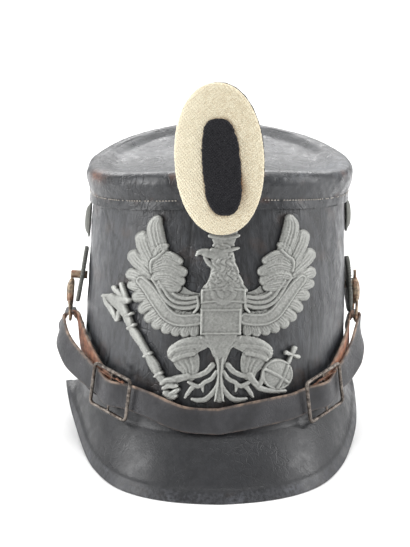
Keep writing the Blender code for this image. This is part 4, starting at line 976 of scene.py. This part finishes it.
def make_strap():
    route, across, kinds = [], [], []
    for sign in (-1, 1):
        middles, widths = strap_half(sign)
        fine, share = even_curve(middles, STRAP_STEP)
        widths = between(share, np.arange(len(widths)), widths)
        if sign < 0:
            route, across, kinds = fine[::-1], widths[::-1], -share[::-1]
        else:
            route = np.concatenate((route, fine[1:]))
            across = np.concatenate((across, widths[1:]))
            kinds = np.concatenate((kinds, share[1:]))
    along = unit(np.gradient(route, axis=0))
    across = unit(across - along * np.sum(across * along, -1, keepdims=True))
    face = unit(np.cross(along, across))
    run = run_lengths(route)
    half, deep = STRAP_WIDTH / 2, STRAP_LEATHER / 2
    middle = np.abs(kinds)
    calm = smooth(middle, 2.6, 3.3) * (1 - smooth(middle, 5.4, 6.2))
    upper = 1.0 + (0.035 * np.sin(run * 95) + 0.03 * np.sin(run * 43 + 1)) * (1 - calm)
    lower = 1.0 + (0.03 * np.sin(run * 71 + 2) + 0.02 * np.sin(run * 29)) * (1 - calm)
    bow = 0.00035 * np.sin(run * 60 + 0.6) * (1 - calm)
    section = [(1.0, 0.25, 1.0), (0.985, 0.80, 1.0), (0.94, 1.05, 0.9), (0.86, 1.05, 0.6), (0.78, 0.97, 0.05),
               (0.45, 1.04, 0.0), (0.0, 1.1, 0.0), (-0.45, 1.05, 0.0), (-0.82, 1.0, 0.0),
               (-0.94, 1.0, 0.15), (-0.985, 0.75, 0.6), (-1.0, 0.25, 0.8)]
    section += [(w, -min(d, 1.0), edge) for w, d, edge in section[::-1]]
    rings, edges, flesh = [], [], []
    for w, d, edge in section:
        reach = np.where(w > 0, upper, lower)[:, None]
        rings.append(route + across * half * w * reach + face * (deep * d + bow * (1 - w * w))[:, None])
        edges.append(np.full(len(route), edge))
        flesh.append(np.full(len(route), 1.0 if d < 0 else 0.0))
    rings = np.stack(rings, 1)
    edges, flesh = np.stack(edges, 1), np.stack(flesh, 1)
    edges *= 0.55 + 0.45 * smooth(waves(rings, 0.01, 61), -0.5, 0.5)
    faces = grid_faces(*rings.shape[:2]) + end_faces(*rings.shape[:2])
    item = mesh_object("strap_leather_loop", rings, faces, STRAP_LOOK, {"edge": edges, "flesh": flesh}, 60.0)
    add_piece(item, "strap_leather", "chin_strap")


def tube(path, radii, sides, closed, hint):
    """Points and faces of a round wire along a path, its radius given for each point."""
    path = np.asarray(path, dtype=float)
    if closed:
        along = unit(np.roll(path, -1, 0) - np.roll(path, 1, 0))
    else:
        along = unit(np.gradient(path, axis=0))
    side = unit(np.cross(np.broadcast_to(hint, path.shape), along))
    other = np.cross(along, side)
    turns = circle(sides)
    ring = (side[:, None] * np.cos(turns)[None, :, None] + other[:, None] * np.sin(turns)[None, :, None])
    points = path[:, None] + ring * np.asarray(radii)[:, None, None]
    faces = grid_faces(len(path), sides, True, closed)
    if not closed:
        faces += end_faces(len(path), sides)
    return points.reshape(-1, 3), faces


def joined(parts):
    points, faces, start = [], [], 0
    for spots, sides in parts:
        points.append(spots)
        faces += [tuple(start + v for v in face) for face in sides]
        start += len(spots)
    return np.concatenate(points), faces


def frame_path(width, length, radius, steps=7, straight=14):
    corners = []
    for index, (x, y) in enumerate(((1, 1), (-1, 1), (-1, -1), (1, -1))):
        for step in range(steps):
            turn = math.radians(90 * index + 90 * step / (steps - 1))
            corners.append((x * (width / 2 - radius) + math.cos(turn) * radius,
                            y * (length / 2 - radius) + math.sin(turn) * radius, 0))
    path = []
    for i, corner in enumerate(corners):
        after = corners[(i + 1) % len(corners)]
        gap = math.dist(corner, after)
        count = straight if gap > radius * 1.5 else 1
        for k in range(count):
            path.append([corner[m] + (after[m] - corner[m]) * k / count for m in range(3)])
    return np.array(path)


def put_on(points, faces, origin, axes):
    """Points and faces in a frame; the faces turn over where its three axes are left-handed."""
    if np.dot(np.cross(axes[0], axes[1]), axes[2]) < 0:
        faces = [face[::-1] for face in faces]
    return origin + points @ np.array(axes), faces


def make_buckle(side):
    path = frame_path(BUCKLE_WIDTH, BUCKLE_LENGTH, BUCKLE_CORNER)
    radii = BUCKLE_WIRE * (1 + 0.06 * waves(path, 0.006, 70 + side.sign))
    path[:, 2] += 0.00012 * waves(path, 0.015, 72 + side.sign)
    hint = np.array((0, 0, 1.0))
    reach = BUCKLE_WIDTH / 2 - BUCKLE_WIRE * 0.6
    bar = np.stack((np.linspace(-reach, reach, 12), np.zeros(12), np.zeros(12)), -1)
    bar = tube(bar, np.full(12, BUCKLE_BAR), 10, False, hint)
    points, faces = joined([tube(path, radii, 14, True, hint), bar])
    place = [row.angle for row in STRAP_ROWS].index(BUCKLE_ANGLE)
    before, after = [strap_station(STRAP_ROWS[k], side.sign)[0] for k in (place - 1, place + 1)]
    middle, width, _ = strap_station(STRAP_ROWS[place], side.sign)
    along = unit(after - before)
    across = unit(width - along * np.dot(width, along))
    face = np.cross(across, along)
    if np.dot(face, wall_frame(math.radians(BUCKLE_ANGLE) * side.sign, 0.01)[2]) < 0:
        face = -face
    sink = STRAP_LEATHER / 2 + GAP + BUCKLE_BAR + GAP
    points, faces = put_on(points, faces, middle - face * sink, (across, along, face))
    item = mesh_object(f"buckle_wire_{side.name}", points, faces, WIRE)
    add_piece(item, "dark_wire", f"buckle_{side.name}")
    make_torn_end(side, middle, across, along, face)


def make_torn_end(side, middle, across, along, face):
    """The ragged end of the strap, seen in the top of the buckle's window."""
    count, deep = END_COLUMNS, END_ROWS
    chance = np.random.default_rng(80 + side.sign)
    ragged = np.interp(np.linspace(0, 1, count), np.linspace(0, 1, 9), chance.uniform(0.2, 1.0, 9))
    rings = []
    for i in range(count):
        x = (i / (count - 1) - 0.5) * BUCKLE_LENGTH * 0.66
        column = []
        for k in range(deep):
            t = k / (deep - 1)
            rise = BUCKLE_WIDTH * (0.355 + 0.085 * t * ragged[i])
            out = -0.0003 + 0.0009 * t + 0.0004 * math.sin(9 * t + i * 0.7)
            column.append(middle + along * x + across * rise + face * (out - 0.0013))
        rings.append(column)
    rings = np.array(rings)
    under = rings - face * 0.0008
    count_all = count * deep
    faces = grid_faces(count, deep, False)
    points = np.concatenate((rings.reshape(-1, 3), under.reshape(-1, 3)))
    faces = faces + [tuple(count_all + v for v in f[::-1]) for f in faces]
    rim = [i * deep for i in range(count)] + [(count - 1) * deep + k for k in range(1, deep)]
    rim += [i * deep + deep - 1 for i in range(count - 2, -1, -1)] + [k for k in range(deep - 2, 0, -1)]
    for a, b in zip(rim, rim[1:] + rim[:1]):
        faces.append((b, a, count_all + a, count_all + b))
    marks = {"flesh": np.ones(len(points)), "edge": np.full(len(points), 0.35)}
    item = mesh_object(f"strap_end_{side.name}", points, faces, STRAP_LOOK, marks)
    add_piece(item, "strap_leather")


def side_axes(side, height, tilt=0.0):
    angle = math.radians(90) * side.sign
    round_hat, up_wall, outward = wall_frame(angle, height)
    lean = math.radians(tilt)
    face = unit(outward * math.cos(lean) - up_wall * math.sin(lean))
    up = unit(up_wall * math.cos(lean) + outward * math.sin(lean))
    return wall(angle, height), round_hat, up, face


def turned(section, sides, closed=False):
    """Points and faces of a turned form from (radius, height) pairs."""
    turns = circle(sides)
    rings = [np.stack((np.cos(turns) * r, np.sin(turns) * r, np.full(sides, h)), -1) for r, h in section]
    points = np.concatenate(rings)
    faces = grid_faces(len(section), sides, True, closed)
    if not closed:
        faces += end_faces(len(section), sides)
    return points, faces


def make_vent(side):
    section = curve_through([(1.0, 0.0), (1.0, 0.18), (0.96, 0.28), (0.86, 0.30), (0.80, 0.46), (0.62, 0.80),
                             (0.36, 0.96), (0.06, 1.0)], 4)
    points, faces = turned([(r * VENT_RADIUS, h * VENT_RISE) for r, h in section], 48)
    height = float(ridge_height(math.radians(90))) - BAND_DEPTH - VENT_RADIUS * (1 + side.vent_drop)
    origin, *axes = side_axes(side, height)
    radius = np.hypot(points[:, 0], points[:, 1]) / VENT_RADIUS
    marks = {"hollow": 0.8 * bell(radius - 0.87, 0.05), "ridge": 0.4 * bell(radius, 0.4)}
    points, faces = put_on(points, faces, origin + axes[2] * 2 * GAP, axes)
    item = mesh_object(f"vent_dome_{side.name}", points, faces, DISC_METAL, marks)
    add_piece(item, "grey_metal", f"vent_{side.name}")


def make_cockade(side):
    """A thin disc with fluted rim and two rings of cord."""
    hole = LUG_STUD + GAP * 2
    deep = COCKADE_THICK
    shape = curve_through([(0.0, 0.0), (0.5, 0.0), (0.94, 0.05), (1.0, 0.45), (1.0, 0.95), (0.95, 1.25),
                           (0.86, 1.15), (0.78, 1.30), (0.70, 1.15), (0.60, 1.30), (0.5, 1.15), (0.38, 1.30),
                           (0.0, 1.45)], 4)
    sides, ribs = 168, 56
    turns = circle(sides)
    rings, hollow = [], []
    for share, back in shape:
        radius = hole + (COCKADE_RADIUS - hole) * share
        wave = np.cos(turns * ribs) if back > 0.3 else np.zeros(sides)
        strength = deep * 0.28 * smooth(share, 0.45, 0.9)
        trim = 1 - 0.012 * (1 - wave) * smooth(share, 0.9, 1.0)
        rings.append(np.stack((np.cos(turns) * radius * trim, np.sin(turns) * radius * trim,
                               deep * back + strength * wave), -1))
        hollow.append(0.5 * (1 - wave) * float(smooth(share, 0.4, 0.8)))
    points = np.concatenate(rings)
    height = CROWN_HEIGHT * LUG_SHARE + side.stud_over * LUG_RADIUS
    origin, *axes = side_axes(side, height, -side.cockade_tilt)
    stand = GAP * 2 + COCKADE_RADIUS * math.sin(math.radians(side.cockade_tilt))
    faces = grid_faces(len(rings), sides, True, True)
    marks = {"hollow": np.concatenate(hollow), "ridge": np.zeros(len(points))}
    points, faces = put_on(points, faces, origin + axes[2] * stand, axes)
    item = mesh_object(f"cockade_disc_{side.name}", points, faces, DISC_METAL, marks)
    add_piece(item, "grey_metal", f"cockade_{side.name}")


def make_lug(side):
    stand = side.lug_out * STRAP_OUT
    boss = curve_through([(0.40, 0.0), (0.86, 0.0), (0.97, 0.10), (1.0, 0.3), (1.0, 0.6), (0.90, 0.74),
                          (0.74, 0.80), (0.70, 0.92), (0.45, 1.0), (0.08, 1.02)], 3)
    parts = [turned([(r * LUG_RADIUS, h * LUG_THICK) for r, h in boss], 40)]
    stud, stud_faces = turned([(LUG_STUD, -stand + GAP * 2), (LUG_STUD, LUG_THICK * 0.5)], 20)
    parts.append((stud + (0, side.stud_over * LUG_RADIUS, 0), stud_faces))
    pin = np.stack((np.zeros(8), np.linspace(0, LUG_RADIUS * PIN_REACH, 8), np.full(8, LUG_THICK * 0.35)), -1)
    parts.append(tube(pin, np.full(8, LUG_STUD * 0.4), 10, False, np.array((1.0, 0, 0))))
    origin, *axes = side_axes(side, CROWN_HEIGHT * LUG_SHARE)
    outer = strap_station(STRAP_ROWS[-1], side.sign)[0]
    inner = strap_station(STRAP_RETURN_ROWS[0], side.sign)[0]
    bar = (outer + inner) / 2
    seat = origin + axes[2] * stand
    low = np.array(axes) @ (bar - seat)
    top = np.array((low[0] * 0.5, -LUG_RADIUS * 0.45, LUG_THICK * 0.45))
    path = []
    for x, share in ((0.5, 0.0), (0.5, 0.5), (0.42, 1.0), (-0.42, 1.0), (-0.5, 0.5), (-0.5, 0.0)):
        spot = low + (top - low) * share
        path.append((spot[0] + x * LOOP_WIDTH, spot[1], spot[2]))
    path = np.array(path)
    dense = []
    for a, b in zip(path, np.roll(path, -1, 0)):
        dense += [a + (b - a) * t for t in np.linspace(0, 1, 8, endpoint=False)]
    dense = np.array(dense)
    dense = (np.roll(dense, 1, 0) + dense * 2 + np.roll(dense, -1, 0)) / 4
    plane = unit(np.cross(top - low, np.array((1.0, 0, 0))))
    parts.append(tube(dense, np.full(len(dense), LOOP_WIRE), 12, True, plane))
    points, faces = put_on(*joined(parts), seat, axes)
    item = mesh_object(f"lug_boss_{side.name}", points, faces, BRASS)
    add_piece(item, "worn_brass", f"lug_{side.name}")


# Field badge


def badge_place(across, up, out):
    x = across * math.cos(BADGE_TURN) - up * math.sin(BADGE_TURN)
    z = across * math.sin(BADGE_TURN) + up * math.cos(BADGE_TURN)
    middle = CROWN_HEIGHT + BADGE_OVER
    back = wall(0.0, middle - BADGE_HEIGHT / 2)[1] - PLATE_THICK - RELIEF * 1.5 - 3 * GAP
    return np.stack((x + BADGE_ASIDE, back - out + z * math.tan(TIP_BACK) * 0.4, middle + z), -1)


def badge_surface(across, up):
    share = (2 * across / BADGE_WIDTH) ** 2 + (2 * up / BADGE_HEIGHT) ** 2
    return BADGE_EDGE + (BADGE_THICK - BADGE_EDGE) * np.sqrt(np.maximum(1.0 - share, 0.0))


def oval(width, height, power, sides):
    turns = circle(sides)
    x, z = np.cos(turns), np.sin(turns)
    scale = (np.abs(x) ** power + np.abs(z) ** power) ** (-1 / power)
    return width / 2 * x * scale, height / 2 * z * scale


def make_badge():
    sides = BADGE_SIDES
    start = BADGE_BOARD + GAP
    shares = np.concatenate(((0.97, 0.995, 1.0, 0.992, 0.975), np.linspace(0.95, 0.03, 70)))
    rings, stain, pale = [], [], []
    for index, share in enumerate(shares):
        across, up = oval(BADGE_WIDTH * share, BADGE_HEIGHT * share, BADGE_POWER, sides)
        flat = np.stack((across, up, up * 0), -1)
        if index < 3:
            height = np.full(sides, start + BADGE_EDGE * (0.0, 0.25, 0.6)[index])
        else:
            height = start + badge_surface(across, up) * (1 - 0.10 * bell(1 - share, 0.012))
        height = height + 0.00012 * waves(flat, 0.006, 90) * (index > 2)
        fuzz = 0.00018 * waves(flat, 0.0012, 93) * (index < 5)
        rings.append(badge_place(across * (1 + fuzz / BADGE_WIDTH * 2), up, height))
        black_x, black_y = across - BADGE_CENTRE_ASIDE, up + BADGE_CENTRE_DOWN
        near = (np.abs(2 * black_x / BADGE_CENTRE_WIDTH) ** BADGE_CENTRE_POWER
                + np.abs(2 * black_y / BADGE_CENTRE_HEIGHT) ** BADGE_CENTRE_POWER) ** (1 / BADGE_CENTRE_POWER)
        # Darker in a thin ring round the black centre, and a brown stain low on the right.
        edge = bell(near - 1.0, 0.055)
        brown = bell(across - 0.0115, 0.0035) * bell(up + 0.016, 0.010)
        stain.append(np.clip(0.55 * edge + 0.75 * brown, 0, 1))
        # The left half is painted lighter: a painted highlight.
        pale.append(smooth(-across, -0.002, 0.020) * 0.8)
    points, faces = rings_with_poles(rings, sides)
    marks = {key: np.append(np.concatenate(values), [0, 0])
             for key, values in (("stain", stain), ("pale", pale))}
    item = mesh_object("badge_cloth", points, faces, CREAM, marks)
    add_piece(item, "cream_cloth", "badge_body")


def make_badge_centre():
    sides = BADGE_CENTRE_SIDES
    start = BADGE_BOARD + 2 * GAP
    rings = []
    for share, lift in ((1.02, -0.35), (1.01, 0.45), (0.98, 0.85), (0.92, 1.0), (0.8, 1.02), (0.65, 1.03),
                        (0.5, 1.03), (0.35, 1.04), (0.2, 1.04), (0.08, 1.04)):
        across, up = oval(BADGE_CENTRE_WIDTH * share, BADGE_CENTRE_HEIGHT * share, BADGE_CENTRE_POWER, sides)
        flat = np.stack((across, up, up * 0), -1)
        ragged = 0.00030 * waves(flat, 0.0022, 95) + 0.00030 * waves(flat, 0.0090, 97)
        across = across + BADGE_CENTRE_ASIDE - np.sign(up) * up ** 2 * 1.1
        up = up - BADGE_CENTRE_DOWN
        across = across * (1 + ragged / BADGE_CENTRE_WIDTH * 2 * (share > 0.9))
        height = start + badge_surface(across, up) + BADGE_CENTRE_THICK * lift
        rings.append(badge_place(across, up, height + 0.00012 * waves(flat, 0.0030, 96)))
    points, faces = rings_with_poles(rings, sides, False)
    marks = {"stain": np.zeros(len(points)), "pale": np.zeros(len(points))}
    item = mesh_object("badge_black_centre", points, faces, BLACK_CLOTH, marks)
    add_piece(item, "black_cloth", "badge_centre")


# Eagle plate


def plate_mm(points):
    """Pixels of the photograph's frame as flat places and half widths on the plate, in mm."""
    return np.array([(x - PLATE_MIDDLE_PX, PLATE_FOOT_PX - y, w) for x, y, w in points]) * MM_PER_PX


def stroke_field(spots, u, v, profile):
    """For grid points: how deep inside a stroke they lie (mm), their place across it and along it."""
    best = np.full(u.shape, -1e3)
    lateral = np.zeros_like(u)
    along = np.zeros_like(u)
    if profile == "plaque":
        (x0, y1, _), (x1, y0, arch) = spots
        bend = arch * (1 - ((2 * u - x0 - x1) / (x1 - x0)) ** 2)
        reach = np.minimum(np.minimum(u - x0, x1 - u), np.minimum(v - y0 - bend, y1 - v + bend))
        return reach, lateral, along
    if len(spots) == 1:
        x, y, w = spots[0]
        away = np.hypot(u - x, v - y)
        return w - away, away / w, along
    line = curve_through(spots, 6)
    total = len(line) - 1
    for i in range(total):
        ax, ay, aw = line[i]
        bx, by, bw = line[i + 1]
        dx, dy = bx - ax, by - ay
        size = max(dx * dx + dy * dy, 1e-9)
        t = np.clip(((u - ax) * dx + (v - ay) * dy) / size, 0, 1)
        away = np.hypot(u - ax - t * dx, v - ay - t * dy)
        width = aw + (bw - aw) * t
        inside = width - away
        side = np.sign((u - ax) * dy - (v - ay) * dx)
        closer = inside > best
        best = np.where(closer, inside, best)
        lateral = np.where(closer, side * away / width, lateral)
        along = np.where(closer, (i + t) / total, along)
    return best, lateral, along


def profile_height(row, inside, lateral, along):
    """Height over the plate's back, in mm, of one stroke."""
    across = np.clip(np.abs(lateral), 0, 1)
    if row.profile == "ball":
        return row.level + row.rise * np.sqrt(1 - across ** 2) + 0.7 * bell(inside - 0.8, 0.5)
    if row.profile == "flat":
        return row.level + row.rise * smooth(inside, 0.0, 2.4)
    if row.profile in ("bordered", "plaque"):
        border = bell(inside - 0.80, 0.50)
        return row.level + row.rise * (0.25 + 1.6 * border) * smooth(inside, -0.1, 0.5)
    dome = row.level + row.rise * np.sqrt(np.clip(1 - across ** 2, 0, 1))
    if row.profile == "broad":
        dome = row.level + row.rise * smooth(1 - across, 0.0, 0.42)
        quills = (1 - smooth(across, 0.80, 0.98)) * (1 - 0.8 * smooth(along, 0.72, 0.98))
        dome = dome + 0.17 * np.cos(lateral * 5 * math.pi) * quills
    if row.profile == "shag":
        lean = lateral * 5.0 + 0.9 * np.sin(along * 19)
        scales = np.abs(np.sin(lean * 1.7)) * np.abs(np.sin(along * 15 + np.floor(lean * 1.7 / math.pi)))
        dome = dome + 0.62 * scales
    return dome


def mirrored(points):
    return tuple((2 * PLATE_MIDDLE_PX - x, y, w) for x, y, w in points)


def plate_place(u, v, out):
    """Bend flat places (metres) onto the front of the crown, as the part's source does."""
    height = STRAP_ROWS[0].rise_right * STRAP_RISE + STRAP_WIDTH / 2 + PLATE_CLEAR + v
    angle = u / (BASE_WIDTH / 2)
    for _ in range(8):
        short = u - (wall(angle, height)[..., 0] - wall(0.0 * angle, height)[..., 0])
        angle = angle + short / (BASE_WIDTH / 2)
    height = height - PLATE_WRAP * (wall(angle, height)[..., 1] - wall(0.0 * angle, height)[..., 1])
    outward = wall_frame(angle, height)[2]
    return wall(angle, height) + outward * (out + GAP * 2)[..., None]


def relief():
    """The plate's height, and how deep inside its outline each point of a flat grid lies, in mm."""
    us, vs = [np.arange(low, high, CELL_MM) for low, high in PLATE_GRID]
    u, v = np.meshgrid(us, vs, indexing="ij")
    inside = np.full(u.shape, -1e3)
    top = np.zeros_like(u)
    for row in PLATE_ROWS:
        for points in (row.points, mirrored(row.points)) if row.both else (row.points,):
            spots = plate_mm(points)
            far = spots[:, 2].max() * 1.3 + 2.0
            part = tuple(slice(*np.searchsorted(axis, (spots[:, k].min() - far, spots[:, k].max() + far)))
                         for k, axis in enumerate((us, vs)))
            deep, lateral, along = stroke_field(spots, u[part], v[part], row.profile)
            height = profile_height(row, deep, lateral, along)
            shadow = OVERLAP_DEPTH * bell(deep + 0.25, 0.30) * (row.profile == "broad")
            top[part] = np.where(deep > -0.05, np.maximum(top[part], height), top[part] - shadow)
            inside[part] = np.maximum(inside[part], deep)
    return u, v, inside, top + 0.06 * waves(np.stack((u, v, v * 0), -1), 1.3, 102)


def open_edges(faces):
    """Edges that only one face has, in its direction."""
    edges = {}
    for face in faces:
        for a, b in zip(face, face[1:] + face[:1]):
            if (b, a) in edges:
                del edges[(b, a)]
            else:
                edges[(a, b)] = True
    return list(edges)


def make_eagle():
    u, v, inside, top = relief()
    low = top.copy()
    for _ in range(BLUR_ROUNDS):
        low = (low + np.roll(low, 1, 0) + np.roll(low, -1, 0) + np.roll(low, 1, 1) + np.roll(low, -1, 1)) / 5
    hollow = np.clip((low - top) * 2.2, 0, 1)
    ridge = np.clip((top - low) * 1.5 - 0.12, 0, 1)
    gu, gv = np.gradient(inside, CELL_MM)
    slope = np.maximum(gu ** 2 + gv ** 2, 0.25)
    step = np.where(np.abs(inside) < CELL_MM * 0.75, -inside / slope, 0.0)
    step = np.clip(step, -CELL_MM * 0.6, CELL_MM * 0.6)
    keep = inside > -CELL_MM * 0.45
    near, far = slice(None, -1), slice(1, None)
    corners = ((near, near), (far, near), (far, far), (near, far))
    cell = np.all([keep[corner] for corner in corners], axis=0)
    used = np.zeros(u.shape, dtype=bool)
    for corner in corners:
        used[corner] |= cell
    number = np.full(u.shape, -1)
    number[used] = np.arange(used.sum())
    faces = np.stack([number[corner][cell] for corner in corners], -1).tolist()
    height = np.where(inside < CELL_MM * 0.5, np.minimum(top, EDGE_MM + 0.4 * (top - EDGE_MM)), top)
    flat_u, flat_v = (u + gu * step)[used] / 1000, (v + gv * step)[used] / 1000
    upper = plate_place(flat_u, flat_v, np.maximum(height[used], LEAST_MM) / 1000)
    edges = open_edges(faces)
    border = sorted({a for pair in edges for a in pair})
    place = {a: k + len(upper) for k, a in enumerate(border)}
    foot = plate_place(flat_u[border], flat_v[border], np.zeros(len(border)))
    faces += [(b, a, place[a], place[b]) for a, b in edges]
    marks = {"hollow": np.concatenate((hollow[used], np.full(len(foot), 0.8))),
             "ridge": np.concatenate((ridge[used], np.zeros(len(foot))))}
    item = mesh_object("eagle_relief", np.concatenate((upper, foot)), faces, GREY_METAL, marks, 75.0)
    add_piece(item, "grey_metal", "eagle_plate")


# Stage, light and camera

CAMERA_AIM = Vector((-0.0033, 0.0073, 0.0927))
CAMERA_AWAY = 1.20
CAMERA_PITCH = math.radians(19.53)
CAMERA_TURN = math.radians(-1.46)
PHOTO_LONG_SIDE = 547
FOCAL_PX = 1925.0


def make_camera():
    data = bpy.data.cameras.new("camera")
    data.sensor_width = 36.0
    data.lens = FOCAL_PX / PHOTO_LONG_SIDE * data.sensor_width
    item = bpy.data.objects.new("camera", data)
    level = math.cos(CAMERA_PITCH)
    back = Vector((math.sin(CAMERA_TURN) * level, -math.cos(CAMERA_TURN) * level, math.sin(CAMERA_PITCH)))
    item.location = CAMERA_AIM + back * CAMERA_AWAY
    item.rotation_mode = "QUATERNION"
    item.rotation_quaternion = (-back).to_track_quat("-Z", "Y")
    bpy.context.scene.collection.objects.link(item)
    bpy.context.scene.camera = item


def area_light(name, place, aim, size, power):
    data = bpy.data.lights.new(name, "AREA")
    data.shape = "RECTANGLE"
    data.size, data.size_y = size
    data.energy = power
    item = bpy.data.objects.new(name, data)
    item.location = place
    item.rotation_mode = "QUATERNION"
    item.rotation_quaternion = (Vector(aim) - Vector(place)).to_track_quat("-Z", "Y")
    bpy.context.scene.collection.objects.link(item)


def make_stage():
    n = Nodes("floor_paper", 0.85)
    paper = n.finish(n.mix(n.noise(6.0, 3.0), (0.90, 0.90, 0.90), (0.94, 0.94, 0.94)))
    size, back, curve = 4.0, 2.4, 0.5
    rows = [(-size, 0.0), (back, 0.0)]
    for t in np.linspace(0.1, math.pi / 2, 12):
        rows.append((back + curve * math.sin(t), curve * (1 - math.cos(t))))
    rows.append((back + curve, size))
    points = np.array([(x, y, z) for y, z in rows for x in (-size, size)])
    faces = [(2 * k, 2 * k + 1, 2 * k + 3, 2 * k + 2) for k in range(len(rows) - 1)]
    item = mesh_object("floor", points, faces, paper, place=False)
    world = bpy.data.worlds.new("studio")
    bpy.context.scene.world = world
    world.use_nodes = True
    sky = world.node_tree.nodes["Background"]
    sky.inputs["Color"].default_value = (1.0, 1.0, 1.0, 1.0)
    sky.inputs["Strength"].default_value = 0.72
    area_light("top_box", (0.05, 0.25, 1.15), (0, 0.02, 0.1), (1.0, 0.8), 8.0)
    area_light("back_box", (0.0, 1.15, 0.72), (0, 0.0, 0.20), (1.8, 0.42), 11.0)
    area_light("left_box", (-1.15, -0.25, 0.55), (0, 0, 0.1), (0.6, 0.9), 11.0)
    area_light("right_box", (1.15, -0.15, 0.55), (0, 0, 0.1), (0.6, 0.9), 9.0)
    bpy.context.scene.view_settings.view_transform = "Standard"


def main():
    make_crown()
    make_cap()
    make_stitches()
    make_peak("front_peak_leather", "front_peak", FRONT_PEAK_ROWS, FRONT_REACH, 0.0, 241)
    make_peak("rear_peak_leather", "rear_peak", REAR_PEAK_ROWS, REAR_REACH, 180.0, 161)
    make_strap()
    for side in SIDES:
        make_buckle(side)
        make_lug(side)
        make_cockade(side)
        make_vent(side)
    make_badge()
    make_badge_centre()
    make_eagle()
    for node, look in (("badge_board", BOARD), ("badge_post", WIRE)):
        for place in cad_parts[node].material_slots:
            place.material = look
    make_stage()
    make_camera()


main()
